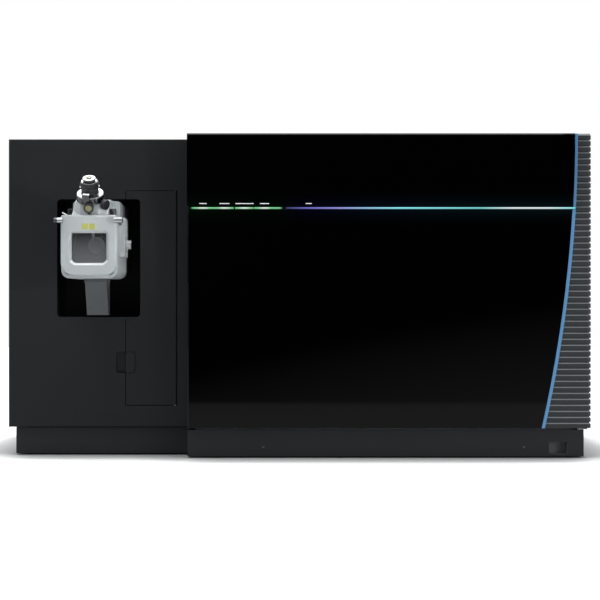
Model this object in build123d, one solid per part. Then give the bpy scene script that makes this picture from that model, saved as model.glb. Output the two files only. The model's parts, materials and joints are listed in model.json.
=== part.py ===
from build123d import *

import math
import os

# Floor-bench mass spectrometer: a source cabinet on the left, an analyser cabinet on the right, one base.
# Millimetres, +Z up, front towards -Y, +X to the user's right. The origin is the centre of the whole
# object's footprint on the bench. Every piece is its own node, written to parts/NODE.step.

# ------------------------------------------------------------------ cabinet sizes
left_width = 470.0  # source cabinet, side to side
right_width = 1030.0  # analyser cabinet, side to side
left_height = 822.0  # bench to the top of the source cabinet
right_height = 828.0  # bench to the top of the analyser cabinet
cabinet_depth = 616.0  # source cabinet's front face to the rear panels
front_step = 80.0  # analyser fascia stands this far ahead of the source cabinet
visor_step = 12.0  # visor stands this far ahead of the fascia
sheet = 2.0  # folded steel sheet
fold = 19.0  # depth of a cover's folded flange
lip = 26.0  # width of a cover's return lip, which lies on the frame
seam = 1.5  # gap between neighbouring covers
edge_round = 3.0  # outer bend of a front cover
fascia_depth = 30.0  # depth of the fascia's folded sides
visor_corner = 10.0  # visor's rounded lower left corner
front_chamfer = 4.0  # bevel on the visor's top edge and the fascia's left edge

# ------------------------------------------------------------------ base
foot_height = 14.0
foot_radius = 22.0
foot_stud_radius = 5.0
foot_inset = 62.0  # foot centre from the base's edges
tray_height = 50.0
tray_skin = 4.0  # plate thickness of the base tray
tray_rib = 6.0
plinth_gap = 4.0  # bench to the plinth's lower edge
plinth_top = 72.0
panel_bottom = 74.0
plinth_inset = 17.0  # plinth's ends inside the cabinets' sides
left_plinth_setback = 15.0
right_plinth_setback = 14.0
pocket_width = 48.0
pocket_height = 32.0
pocket_depth = 30.0
pocket_end = 41.0  # pocket's right edge from the plinth's right end
pocket_floor = 10.0

# ------------------------------------------------------------------ frame of square tube
tube = 25.0
mid_rail_drop = 13.0  # top of the middle front rail below the light bar

# ------------------------------------------------------------------ analyser front
light_height = 4.0
light_level = 636.0  # underside of the light bar
light_gap = 1.0
trim_width = 8.4
trim_proud = 1.5
trim_top_inset = 38.5  # trim's centre from the right side, at the top
trim_bottom_inset = 122.8
rib_count = 49
rib_depth = 3.5
rib_skin = 4.0  # wall behind the ribs' grooves
rib_slope = 3.0  # height of the sloping upper side of a rib
rib_groove = 1.2
corner_round = 9.0
corner_wrap = 150.0  # ribbed panel's reach along the right side

# ------------------------------------------------------------------ alcove, fluidics bay and access door
alcove_width = 216.0
alcove_drop = 185.0  # alcove's floor below the inlet's axis
alcove_height = 306.0
alcove_round = 10.0
alcove_depth = 170.0
liner_wall = 2.5
alcove_left_inset = 126.0  # alcove's left edge from the cabinet's left side
door_width = 132.0
door_right_inset = 33.0  # door's right edge from the cabinets' split
door_bottom = 131.0
door_rise = 21.0  # door's top above the alcove's
door_gap = 1.6
door_fold = 12.0
hinge_inset = 4.0
hinge_radius = 2.0
hinge_clearance = 0.05
pull_width = 24.0
pull_height = 55.0
pull_depth = 8.0
pull_centre = 242.0
bay_depth = 118.0

# ------------------------------------------------------------------ ion source
source_half = 70.0  # half the housing's width
source_front = 188.0  # front cover's face ahead of the cabinet's face
source_back = -18.0
inlet_height = 545.0  # bench to the axis of the vacuum inlet, from which the source's heights are taken
housing_drop = 87.0  # housing's floor below the inlet
shelf_rise = 70.0  # housing's top shelf above the inlet
source_wall = 8.0
mate_gap = 0.3
corner_big = 32.0  # front cover's lower corners
corner_small = 20.0  # housing's lower corners
cover_thick = 14.0
cover_round = 5.0  # soft front edges of the cover
cover_drop = 80.0
window_width = 86.0
window_height = 74.0
sill_drop = 49.0
window_round = 12.0
window_bevel = 6.0
window_rebate = 4.0
glass_thick = 4.0
glass_inset = 7.0  # glass behind the cover's face
rear_block_half = 60.5
rear_block_front = 40.0
rear_block_rise = 113.0
wedge_half = 44.0
nose_radius = 25.0
nose_reach = 58.0
cone_radius = 21.5
cone_tip = 5.0
cone_length = 17.0
inlet_bore = 1.5
mount_bore = 30.0
guide_radius = 4.0
guide_length = 20.0
guide_clearance = 0.3

# probe, on its own tilted axis; stations run outwards from the seat plane
probe_tilt = 30.0
seat_ahead = 141.5  # seat plane's centre ahead of the cabinet's face
seat_rise = 89.3  # seat plane's centre above the inlet
boss_top = 25.0
boss_wide = 43.0
boss_narrow = 33.0
sleeve_radius = 23.0
ring_radius = 34.5
ring_length = 18.0
run_gap = 0.3
fluted_length = 16.0
fluted_radius = 21.5
probe_radius = 12.0
probe_clearance = 0.05
grip_radius = 23.0
grip_length = 11.0
band_radius = 20.5
band_length = 4.0
neck_length = 4.0
neck_radius = 13.5
cap_radius = 16.5
cap_length = 4.0
nozzle_root = -50.0
nozzle_tip = -90.0
nozzle_radius = 3.0
dial_station = 22.0
dial_radius = 12.5
dial_out = 37.0  # dial's inner face from the probe's axis
dial_length = 10.0
dial_stem = 3.0
side_dial_turn = 58.0
side_dial_out = 41.0  # side dial's inner face from the probe's axis
ring_lever_width = 15.0
ring_lever_reach = 19.0
flute_count = 12

# levers, side block, screws and duct
lever_ahead = 140.0
lever_rise = 56.0
lever_hub = 10.0
lever_thick = 6.0
lever_pin = 4.0
knob_radius = 7.0
knob_gap = 2.0
knob_inner = 62.5
knob_outer = 85.0
block_out = 11.6
block_back = 52.0
block_front = 120.0
block_step = 8.0
block_drop = 33.0
block_rise = 68.0
needle_ahead = 85.0
needle_drop = 1.0
needle_knob_radius = 11.0
needle_knob_length = 12.0
needle_radius = 3.0
thumb_side = 53.0
thumb_ahead = 130.0
thumb_radius = 8.0
thumb_height = 18.0
duct_width = 56.0
duct_back = -10.0
duct_top_front = 61.0
duct_foot_front = 18.0
duct_clearance = 5.0  # duct's foot above the alcove's floor
duct_wall = 2.5
duct_collar = 9.0  # height of the collar round the duct's head
duct_edge = 2.0  # rounding of the duct's upright edges

# ------------------------------------------------------------------ fluidics
pump_width = 62.0
pump_bottom = 150.0
pump_headroom = 20.0  # pump's top below the alcove's floor
pump_thick = 34.0
pump_rod_radius = 3.0
pump_rod_spacing = 40.0
pusher_height = 16.0
pusher_lift = 12.0  # pusher's rest above the pump's foot
syringe_radius = 6.0
syringe_length = 62.0
valve_radius = 19.0
valve_length = 40.0
valve_rise = 25.0  # valve's axis above the alcove's floor

# ------------------------------------------------------------------ vacuum system
manifold_wall = 12.0
manifold_length = 1010.0
manifold_depth = 216.0
manifold_height = 200.0
bend_radius = 90.0
rail_height = 8.0  # rail under the ion optics
rod_radius = 7.0
rod_circle = 17.0
rod_length = 240.0
optics_gap = 30.0  # between neighbouring stages of the ion path
trap_length = 70.0
cell_length = 90.0
cell_radius = 30.0
spindle_radius = 34.0
ion_bore = 8.0
end_gap = 88.0  # linear trap's end to the chamber's wall
lid_thick = 12.0
turbo_radius = 82.0
turbo_length = 200.0
turbo_wall = 7.0
turbo_hub = 30.0
blade_count = 12
stage_count = 3

# ------------------------------------------------------------------ rear and electronics
stub_radius = 12.5
stub_length = 28.0
stub_wall = 3.0
stub_shoulder = 1.0  # pipe inside the cabinet is that much slimmer than its hose end
fan_size = 120.0
fan_thick = 38.0
fan_bore = 56.0
fan_level = 520.0
fan_spacing = 190.0
fan_hub = 22.0
power_width = 150.0
power_height = 90.0
power_level = 150.0
rocker_width = 26.0
rocker_height = 18.0
supply_inset = 90.0  # power supply's left side from the split
supply_width = 280.0
supply_depth = 180.0
supply_height = 130.0
supply_gap = 40.0
rf_width = 240.0
rf_height = 170.0
cage_gap = 60.0
cage_width = 220.0
cage_depth = 300.0
cage_height = 300.0
cage_wall = 3.0
card_count = 6

# ------------------------------------------------------------------ derived places
alcove_floor = inlet_height - alcove_drop
alcove_top = alcove_floor + alcove_height
door_top = alcove_top + door_rise
source_bottom = inlet_height - housing_drop
source_shelf = inlet_height + shelf_rise
cover_bottom = inlet_height - cover_drop
window_sill = inlet_height - sill_drop
rear_block_top = inlet_height + rear_block_rise
seat_level = inlet_height + seat_rise
lever_level = inlet_height + lever_rise
block_bottom = inlet_height - block_drop
block_top = inlet_height + block_rise
needle_level = inlet_height - needle_drop
duct_foot = alcove_floor + duct_clearance
pump_height = alcove_floor - pump_headroom - pump_bottom
pusher_rest = pump_bottom + pusher_lift
valve_level = alcove_floor + valve_rise
x_left = -(left_width + right_width) / 2
x_split = x_left + left_width
x_right = x_split + right_width
source_reach = source_front + knob_gap + 2 * knob_radius
y_left = -(source_reach + cabinet_depth + stub_length) / 2 + source_reach
y_rear = y_left + cabinet_depth
y_front = y_left - front_step
y_visor = y_front - visor_step
tray_top = foot_height + tray_height
rib_total = rib_depth + rib_skin
side_face = x_right - rib_depth
fascia_bottom = panel_bottom + 3.0
alcove_x0 = x_left + alcove_left_inset
alcove_x1 = alcove_x0 + alcove_width
source_x = (alcove_x0 + alcove_x1) / 2
liner_front = y_left + door_fold + 2.0
door_x1 = x_split - door_right_inset
door_x0 = door_x1 - door_width
plinth_x0 = x_left + plinth_inset
plinth_x1 = x_right - plinth_inset
left_plinth_y = y_left + left_plinth_setback
right_plinth_y = y_front + right_plinth_setback
plinth_rear = y_rear - left_plinth_setback
manifold_y = y_left + alcove_depth + 4.0
beam_y = manifold_y + manifold_wall + 20.0 + bend_radius
manifold_x0 = source_x - 100.0
manifold_z0 = inlet_height - manifold_height / 2


def ahead(distance):
    """Y of a point that far ahead of the source cabinet's front face."""
    return y_left - distance


# ------------------------------------------------------------------ shared shapes
def block(x0, x1, y0, y1, z0, z1):
    """A box between two corners."""
    return Pos((x0 + x1) / 2, (y0 + y1) / 2, (z0 + z1) / 2) * Box(x1 - x0, y1 - y0, z1 - z0)


def rod(start, end, radius):
    """A round bar between two points."""
    run = Vector(*end) - Vector(*start)
    bar = Cylinder(radius, run.length, align=(Align.CENTER, Align.CENTER, Align.MIN))
    return Plane(origin=start, z_dir=run) * bar


def prism_x(points, x0, x1):
    """A side outline of (y, z) points, pulled from x0 to x1."""
    outline = Polyline(*points, close=True)
    return extrude(Plane(origin=(x0, 0, 0), x_dir=(0, 1, 0), z_dir=(1, 0, 0)) * make_face(outline), x1 - x0)


def turned(points):
    """A solid of revolution about Z from (radius, station) points."""
    outline = Plane.XZ * Polyline(*points, close=True)
    return revolve(make_face(outline), Axis.Z)


def arch(x0, x1, y0, y1, z0, z1, upper, lower):
    """A plate in the XZ plane with its own corner radius at the top and at the bottom."""
    plate = block(x0, x1, y0, y1, z0, z1)
    upright = plate.edges().filter_by(Axis.Y).sort_by(Axis.Z)
    plate = fillet(upright[:2], lower)
    upright = plate.edges().filter_by(Axis.Y).sort_by(Axis.Z)
    return fillet(upright[-2:], upper)


def cover(low, high, axis, side, pocket=None):
    """A folded sheet cover: a show face, four flanges, and return lips round its open back.

    axis is the show face's normal (0, 1 or 2) and side is -1 or 1 for where it looks.
    """
    deep_low = [value + sheet for value in low]
    deep_high = [value - sheet for value in high]
    back_low = [value + lip for value in low]
    back_high = [value - lip for value in high]
    if side < 0:
        back_low[axis], back_high[axis] = high[axis] - 2 * sheet, high[axis] + sheet
    else:
        back_low[axis], back_high[axis] = low[axis] - sheet, low[axis] + 2 * sheet
    shell = [value for pair in zip(low, high) for value in pair]
    hollow = [value for pair in zip(deep_low, deep_high) for value in pair]
    opening = [value for pair in zip(back_low, back_high) for value in pair]
    body = block(*shell)
    if axis == 1 and side < 0:
        rim = body.faces().sort_by(Axis.Y)[0].edges()
        body = fillet(rim, edge_round)
    return body - block(*hollow) - block(*opening)


def fluted(body, count, circle, cutter_radius, start, end):
    """Cuts finger flutes round a body that is turned about Z."""
    cutter = Pos(0, 0, start) * Cylinder(
        cutter_radius, end - start, align=(Align.CENTER, Align.CENTER, Align.MIN)
    )
    for place in PolarLocations(circle, count):
        body -= place * cutter
    return body


# ------------------------------------------------------------------ base
def foot_places():
    """Centres of the six levelling feet."""
    rear = plinth_rear - foot_inset
    return [
        (plinth_x0 + foot_inset, left_plinth_y + foot_inset),
        (plinth_x0 + foot_inset, rear),
        (x_split + foot_inset, right_plinth_y + foot_inset),
        (x_split + foot_inset, rear),
        (plinth_x1 - foot_inset, right_plinth_y + foot_inset),
        (plinth_x1 - foot_inset, rear),
    ]


def plinth_pocket_box(grow):
    """The release pocket's space in the right plinth, grown by a wall."""
    x1 = plinth_x1 - pocket_end
    return (
        x1 - pocket_width - grow,
        x1 + grow,
        right_plinth_y,
        right_plinth_y + pocket_depth + grow,
        pocket_floor - grow,
        pocket_floor + pocket_height + grow,
    )


def base_tray():
    """Welded base: a top plate with an edge wall, cross ribs and foot bosses below."""
    z0 = foot_height
    parts = []
    for x0, x1, y0 in (
        (plinth_x0 + sheet, x_split + sheet, left_plinth_y + sheet),
        (x_split + sheet, plinth_x1 - sheet, right_plinth_y + sheet),
    ):
        y1 = plinth_rear - sheet
        shell = block(x0, x1, y0, y1, z0, tray_top)
        bays = 2 if x1 - x0 < 600 else 4
        pitch = (x1 - x0 - tray_rib) / bays
        for i in range(bays):
            for half in range(2):
                bay_y = (y1 - y0 - tray_rib) / 2
                shell -= block(
                    x0 + tray_rib + i * pitch,
                    x0 + (i + 1) * pitch,
                    y0 + tray_rib + half * bay_y,
                    y0 + (half + 1) * bay_y,
                    z0 - 1,
                    tray_top - tray_skin,
                )
        parts.append(shell)
    tray = parts[0] + parts[1]
    for x, y in foot_places():
        boss = Pos(x, y, z0) * Cylinder(
            3 * foot_stud_radius, tray_height, align=(Align.CENTER, Align.CENTER, Align.MIN)
        )
        tray += boss
    for x, y in foot_places():
        tray -= Pos(x, y, z0 - 1) * Cylinder(
            foot_stud_radius + 0.2, 31, align=(Align.CENTER, Align.CENTER, Align.MIN)
        )
    x0, x1, y0, y1, z_low, z_high = plinth_pocket_box(sheet + 1)
    return tray - block(x0, x1, y0, y1, z0 - 1, z_high)


def levelling_feet():
    """Six rubber feet on threaded studs."""
    foot = turned(
        [
            (0, 0),
            (foot_radius, 0),
            (foot_radius, 0.4 * foot_height),
            (0.6 * foot_radius, foot_height),
            (foot_stud_radius, foot_height),
            (foot_stud_radius, foot_height + 28),
            (0, foot_height + 28),
        ]
    )
    return Compound([Pos(x, y, 0) * foot for x, y in foot_places()])


def left_plinth():
    """Folded skirt round the front, left and rear of the source cabinet's base."""
    z0, z1 = plinth_gap, plinth_top
    skirt = block(plinth_x0, x_split, left_plinth_y, plinth_rear, z0, z1)
    return skirt - block(
        plinth_x0 + sheet, x_split + 1, left_plinth_y + sheet, plinth_rear - sheet, z0 - 1, z1 + 1
    )


def right_plinth():
    """Folded skirt of the analyser cabinet's base, with the release pocket formed in its front."""
    z0, z1 = plinth_gap, plinth_top
    skirt = block(x_split, plinth_x1, right_plinth_y, plinth_rear, z0, z1)
    skirt -= block(
        x_split + sheet, plinth_x1 - sheet, right_plinth_y + sheet, plinth_rear - sheet, z0 - 1, z1 + 1
    )
    skirt -= block(x_split - 1, x_split + 2 * sheet, left_plinth_y, plinth_rear + 1, z0 - 1, z1 + 1)
    skirt += block(*plinth_pocket_box(sheet))
    x0, x1, y0, y1, z_low, z_high = plinth_pocket_box(0)
    return skirt - block(x0, x1, y0 - 1, y1, z_low, z_high)


# ------------------------------------------------------------------ frame
def cabinet_frame():
    """Welded skeleton of square tube that carries every cover."""
    left_post = x_left + fold
    left_front = y_left + fold
    rear = y_rear - fold - tube
    right_front = y_front + fascia_depth
    side_post = side_face - fold - tube
    corner_post = x_right - rib_total - seam - tube
    left_top = left_height - fold
    right_top = right_height - fold
    posts = [
        (left_post, left_front, left_top),
        (left_post, rear, left_top),
        (x_split - seam - tube, left_front, left_top),
        (x_split - seam - tube, rear, left_top),
        (x_split + fold, right_front, right_top),
        (corner_post, y_front + rib_total, right_top),
        (side_post, rear, right_top),
    ]
    frame = None
    for x, y, top in posts:
        post = block(x, x + tube, y, y + tube, tray_top, top)
        frame = post if frame is None else frame + post
    rail = left_top - tube
    frame += block(left_post, x_split - seam, left_front, left_front + tube, rail, left_top)
    frame += block(left_post, left_post + tube, left_front, rear + tube, rail, left_top)
    frame += block(left_post, x_split - seam, rear, rear + tube, rail, left_top)
    for top in (right_top, light_level - mid_rail_drop, tray_top + tube):
        frame += block(
            x_split + fold, side_post + tube, right_front, right_front + tube, top - tube, top
        )
    shared_top = min(left_top, right_top)
    frame += block(
        x_split - seam - tube, side_post + tube, rear, rear + tube, shared_top - tube, shared_top
    )
    frame += block(side_post, side_post + tube, right_front, rear + tube, right_top - tube, right_top)
    frame += block(
        x_split + fold, x_split + fold + tube, right_front, rear + tube, right_top - tube, right_top
    )
    low, high = tray_top - 1, plinth_top + seam
    wall = sheet + mate_gap
    notch = block(x_split, x_right, y_front, y_left, low, high)
    return frame - (notch - block(x_split, plinth_x1 - wall, right_plinth_y + wall, y_left + 1, low, high))


# ------------------------------------------------------------------ source cabinet covers
def door_notch(grow):
    """The alcove's opening, as it runs through the front cover and the door."""
    return arch(
        alcove_x0 - grow,
        alcove_x1 + grow,
        y_left - 5 * fold,
        y_left + door_fold + 2.0,
        alcove_floor - grow,
        alcove_top + grow,
        alcove_round + grow,
        alcove_round + grow,
    )


def door_outline(grow, y0, y1):
    """The access door's rectangle, grown by a gap."""
    return block(door_x0 - grow, door_x1 + grow, y0, y1, door_bottom - grow, door_top + grow)


def hinge_brackets():
    """Two small ledges behind the cover, above and below the door, that hold its pivot pins."""
    depth = door_fold + 2.0
    low = block(
        door_x1 - 22,
        door_x1 + 6,
        y_left + sheet / 2,
        y_left + depth,
        door_bottom - door_gap - 2 * sheet,
        door_bottom - door_gap,
    )
    return low + Pos(0, 0, door_top - door_bottom + 2 * door_gap + 2 * sheet) * low


def pull_shell():
    """Solid behind the finger pull's dish, before the dish is cut."""
    x1 = door_x0 - door_gap
    return block(
        x1 - pull_width - sheet,
        x1,
        y_left + sheet / 2,
        y_left + pull_depth + sheet,
        pull_centre - pull_height / 2 - sheet,
        pull_centre + pull_height / 2 + sheet,
    )


def left_front_panel():
    """Front cover with the alcove's lip, the door's aperture, hinge brackets and the dished finger pull."""
    panel = cover(
        [x_left, y_left, panel_bottom], [x_split - seam, y_left + fold, left_height], 1, -1
    )
    lip_ring = door_notch(sheet) & block(
        alcove_x0 - 10, door_x0 - door_gap, y_left + 1, liner_front, alcove_floor - 10, alcove_top + 10
    )
    panel += lip_ring
    panel += hinge_brackets()
    panel += pull_shell()
    pull_x1 = door_x0 - door_gap
    panel -= door_notch(0)
    panel -= door_outline(door_gap, y_left - 1, y_left + fold + 1)
    hollow = block(
        pull_x1 - pull_width,
        pull_x1 + 1,
        y_left - pull_depth,
        y_left + pull_depth,
        pull_centre - pull_height / 2,
        pull_centre + pull_height / 2,
    )
    hollow = fillet(hollow.edges().filter_by(Axis.Y).sort_by(Axis.X)[:2], 9)
    panel -= hollow
    for z in (door_bottom, door_top):
        panel -= hinge_pin_hole(z, hinge_clearance)
    return panel


def hinge_pin_hole(z, grow):
    """A hinge pin's space across the door's edge at one height."""
    x, y = door_x1 - hinge_inset, y_left + hinge_inset
    return rod((x, y, z - 2 * sheet - door_gap), (x, y, z + 2 * sheet + door_gap), hinge_radius + grow)


def door_hinge_pins():
    """Two pivot pins on which the access door swings."""
    x, y = door_x1 - hinge_inset, y_left + hinge_inset
    reach = sheet + door_gap
    return Compound(
        [rod((x, y, z - reach), (x, y, z + reach), hinge_radius) for z in (door_bottom, door_top)]
    )


def access_door():
    """Tall door beside the alcove, notched round it, with a raised finger grip on its free edge."""
    door = door_outline(0, y_left, y_left + door_fold)
    corner = door.edges().filter_by(Axis.Z).sort_by(Axis.X)[-2:].sort_by(Axis.Y)[:1]
    door = fillet(corner, 3)
    hollow = block(
        door_x0 + sheet,
        door_x1 - 2 * hinge_inset,
        y_left + sheet,
        y_left + door_fold + 1,
        door_bottom + sheet,
        door_top - sheet,
    )
    door -= hollow - door_notch(sheet + seam)
    door -= door_notch(0)
    grip = block(
        door_x0,
        door_x0 + pull_width,
        y_left - 5,
        y_left + sheet,
        pull_centre - pull_height / 2,
        pull_centre + pull_height / 2,
    )
    grip = fillet(grip.edges().filter_by(Axis.Y).sort_by(Axis.X)[-2:], 9)
    grip = chamfer(grip.faces().sort_by(Axis.Y)[0].edges().sort_by(Axis.X)[1:], 2)
    door += grip
    for z in (door_bottom, door_top):
        door -= hinge_pin_hole(z, hinge_clearance)
    return door


def left_side_panel():
    """Left side cover."""
    return cover(
        [x_left, y_left + fold + seam, panel_bottom],
        [x_left + fold, y_rear - fold - seam, left_height],
        0,
        -1,
    )


def left_top_panel():
    """Top cover of the source cabinet."""
    return cover(
        [x_left + fold + seam, y_left + fold + seam, left_height - fold],
        [x_split - seam, y_rear - fold - seam, left_height],
        2,
        1,
    )


def alcove_liner():
    """Deep-drawn tub that surrounds the ion source, with a hole for the vacuum interface."""
    back = y_left + alcove_depth
    tub = arch(
        alcove_x0 - liner_wall,
        alcove_x1 + liner_wall,
        liner_front,
        back,
        alcove_floor - liner_wall,
        alcove_top + liner_wall,
        alcove_round + liner_wall,
        alcove_round + liner_wall,
    )
    tub -= arch(
        alcove_x0,
        alcove_x1,
        liner_front - 1,
        back - liner_wall,
        alcove_floor,
        alcove_top,
        alcove_round,
        alcove_round,
    )
    return tub - rod(
        (source_x, back - 2 * liner_wall, inlet_height), (source_x, back + 1, inlet_height), mount_bore
    )


def bay_space(grow, y0, y1):
    """The fluidics bay's C-shaped space round the alcove's right end, grown by a wall."""
    space = door_outline(door_gap + grow, y0, y1)
    clear = liner_wall + seam + sheet - grow
    return space - block(
        door_x0 - 20,
        alcove_x1 + clear,
        y0 - 1,
        y1 + 1,
        alcove_floor - clear,
        alcove_top + clear,
    )


def fluidics_bay():
    """Sheet-metal tub that hangs behind the cover's aperture, bent round the alcove."""
    bay = bay_space(sheet, y_left + sheet, y_left + bay_depth)
    bay -= bay_space(0, y_left, y_left + bay_depth - sheet)
    reach = liner_wall + seam + 2 * sheet
    bay -= block(
        door_x0 - 20,
        alcove_x1 + reach,
        y_left,
        liner_front,
        alcove_floor - reach,
        alcove_top + reach,
    )
    return bay - hinge_brackets() - pull_shell()


# ------------------------------------------------------------------ analyser cabinet covers
def trim_x(z):
    """X of the curved trim's centre line at one height: a circle that stands upright at the top."""
    rise = right_height - fascia_bottom
    sag = trim_bottom_inset - trim_top_inset
    radius = (rise**2 + sag**2) / (2 * sag)
    return x_right - trim_top_inset - radius + math.sqrt(radius**2 - (right_height - z) ** 2)


def beyond_curve(shift):
    """Everything to the right of the curved trim's centre line, moved sideways by shift."""
    low, high = fascia_bottom - 40, right_height + 20
    middle = (fascia_bottom + right_height) / 2
    far = x_right + 100
    start, bend, end = [(trim_x(z) + shift, z) for z in (low, middle, high)]
    line = ThreePointArc(start, bend, end)
    line += Polyline(end, (far, high), (far, low), start)
    side = Plane(origin=(0, y_visor - 50, 0), x_dir=(1, 0, 0), z_dir=(0, -1, 0))
    return extrude(side * make_face(line), -(corner_wrap + 200))


def curved_cover(y0, z0, z1):
    """A fascia cover whose right side follows the curved trim."""
    x0, x1 = x_split, x_right
    y1 = y_front + fascia_depth
    edge = -trim_width / 2 - light_gap / 2
    body = block(x0, x1, y0, y1, z0, z1) - beyond_curve(edge)
    hollow = block(x0 + sheet, x1, y0 + sheet, y1 - sheet, z0 + sheet, z1 - sheet)
    opening = block(x0 + lip, x1, y0 + sheet, y1 + 1, z0 + lip, z1 - lip)
    return body - (hollow - beyond_curve(edge - sheet)) - (opening - beyond_curve(edge - lip))


def lower_fascia():
    """Black lower front of the analyser cabinet."""
    panel = curved_cover(y_front, fascia_bottom, light_level - light_gap)
    return chamfer(panel.faces().sort_by(Axis.Y)[0].edges().sort_by(Axis.X)[0], front_chamfer)


def visor():
    """Black upper front, standing proud of the fascia, with the light bar under its edge."""
    panel = curved_cover(y_visor, light_level + light_height, right_height)
    low_corner = panel.edges().filter_by(Axis.Y).group_by(Axis.X)[0].sort_by(Axis.Z)[0]
    panel = fillet(low_corner, visor_corner)
    return chamfer(panel.faces().sort_by(Axis.Y)[0].edges().sort_by(Axis.Z)[-1], front_chamfer)


def light_bar(x0, x1):
    """One stretch of the light guide under the visor."""
    return block(x0, x1, y_visor + 1, y_front + 8, light_level, light_level + light_height - 0.1)


def status_lights():
    """Four short light guides at the left end of the bar."""
    stretches = [(11.0, 70.5), (72.0, 118.0), (122.5, 168.5), (171.0, 242.0)]
    return Compound([light_bar(x_split + start, x_split + end) for start, end in stretches])


def scan_light():
    """The long light guide, which runs over the trim at its right end."""
    return light_bar(x_split + 252.0, trim_x(light_level) + 1.5)


def curved_trim():
    """Slim curved strip between the gloss front and the ribbed panel."""
    y0 = y_front - trim_proud
    half = trim_width / 2
    strip = block(x_split + 600, x_right, y0, y_front + rib_total, fascia_bottom, right_height)
    strip = (strip & beyond_curve(-half)) - beyond_curve(half - 0.2)
    return strip - block(
        x_split, x_right, y0 - 1, y_front + 9, light_level - 1, light_level + light_height + 1
    )


def rib_profile():
    """Side outline of the ribbed panel: louvre-like ribs with sloping tops and fine grooves."""
    pitch = (right_height - fascia_bottom) / rib_count
    crest, groove = 0.0, rib_depth
    points = [(rib_total, fascia_bottom)]
    for i in range(rib_count):
        z = fascia_bottom + i * pitch
        points.append((groove, z))
        points.append((crest, z + 0.8))
        points.append((crest, z + pitch - rib_groove - rib_slope))
        points.append((groove, z + pitch - rib_groove))
    points.append((groove, right_height))
    points.append((rib_total, right_height))
    return points


def ribbed_corner():
    """Moulded corner panel: ribs run along the front, round the corner and down the right side."""
    start = x_right - trim_bottom_inset - 30
    centre = x_right - corner_round, y_front + corner_round
    outline = make_face(Polyline(*rib_profile(), close=True))
    front = Plane(origin=(start, y_front, 0), x_dir=(0, 1, 0), z_dir=(1, 0, 0)) * outline
    at_corner = Plane(origin=(centre[0], y_front, 0), x_dir=(0, 1, 0), z_dir=(1, 0, 0)) * outline
    side = Plane(origin=(x_right, centre[1], 0), x_dir=(-1, 0, 0), z_dir=(0, 1, 0)) * outline
    panel = extrude(front, centre[0] - start)
    panel += revolve(at_corner, Axis((*centre, 0), (0, 0, 1)), 90)
    panel += extrude(side, corner_wrap - corner_round)
    cap_in = rib_depth + fold + seam
    cap_z = right_height - 3.0
    panel += block(start, side_face, y_front + rib_depth, y_front + cap_in, cap_z, right_height)
    panel += block(
        x_right - cap_in, side_face, y_front + rib_depth, y_front + corner_wrap, cap_z, right_height
    )
    low, high = fascia_bottom - 10, right_height + 10
    front_zone = block(start - 10, x_right, y_front - 10, y_front + cap_in + 10, low, high)
    return panel - (front_zone - beyond_curve(trim_width / 2))


def cheek_panel():
    """Narrow side cover where the analyser cabinet stands ahead of the source cabinet."""
    return cover(
        [x_split, y_front + fascia_depth + seam, panel_bottom],
        [x_split + fold, y_left + fold + lip * 2, right_height - fold - seam],
        0,
        -1,
    )


def right_side_panel():
    """Right side cover, behind the ribbed corner."""
    return cover(
        [side_face - fold, y_front + corner_wrap + seam, fascia_bottom],
        [side_face, y_rear - fold - seam, right_height],
        0,
        1,
    )


def right_top_panel():
    """Top cover of the analyser cabinet."""
    return cover(
        [x_split, y_front + fascia_depth + seam, right_height - fold],
        [side_face - fold - seam, y_rear - fold - seam, right_height],
        2,
        1,
    )


def rear_slots(x, z, width, height, count):
    """A grille of round-ended slots through the rear cover."""
    pitch = height / count
    slot = Plane.XZ * SlotOverall(width, 0.5 * pitch)
    cutters = []
    for i in range(count):
        cutters.append(Pos(x, y_rear + 1, z - height / 2 + (i + 0.5) * pitch) * extrude(slot, 3 * sheet))
    return cutters


def rear_panels():
    """Two rear covers with fan grilles, the mains entry's opening and holes for the vacuum stubs."""
    y0 = y_rear - fold
    left = cover([x_left, y0, panel_bottom], [x_split - seam, y_rear, left_height], 1, 1)
    right = cover([x_split, y0, panel_bottom], [side_face, y_rear, right_height], 1, 1)
    for x in fan_centres():
        for cutter in rear_slots(x, fan_level, 0.8 * fan_size, 0.9 * fan_size, 9):
            right -= cutter
    for x in turbo_centres():
        hole = rod((x, y_rear - fold, stub_level), (x, y_rear + 1, stub_level), stub_radius + 1)
        left -= hole
        right -= hole
    x0, x1 = power_x0(), power_x0() + power_width
    right -= block(x0, x1, y_rear - sheet - 1, y_rear + 1, power_level, power_level + power_height)
    return Compound([left, right])


# ------------------------------------------------------------------ ion source
def seat_plane():
    """The probe's own frame: +Z runs outwards along the probe, +X to the right."""
    lean = math.radians(probe_tilt)
    return Plane(
        origin=(source_x, ahead(seat_ahead), seat_level),
        x_dir=(1, 0, 0),
        z_dir=(0, -math.sin(lean), math.cos(lean)),
    )


def mount_face():
    """Y of the fixed mount's front face, against which the source housing draws up."""
    return ahead(source_back) + mate_gap


def source_mount():
    """Fixed interface: a flanged block on the alcove's back wall with the inlet nose and guide pins."""
    back = y_left + alcove_depth - liner_wall
    face = mount_face()
    mount = arch(
        source_x - rear_block_half - 4,
        source_x + rear_block_half + 4,
        face,
        back,
        source_bottom + 6,
        rear_block_top - 4,
        8,
        corner_small,
    )
    rim = mount.faces().sort_by(Axis.Y)[0].edges()
    mount = chamfer(rim, 2)
    mount += rod((source_x, back, inlet_height), (source_x, manifold_y, inlet_height), mount_bore - 0.5)
    mount += rod((source_x, face, inlet_height), (source_x, face - nose_reach, inlet_height), nose_radius)
    for side in (-1, 1):
        x, z = source_x + side * wedge_half, source_shelf + 18
        mount += rod((x, face, z), (x, face - guide_length, z), guide_radius)
    return mount


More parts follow.
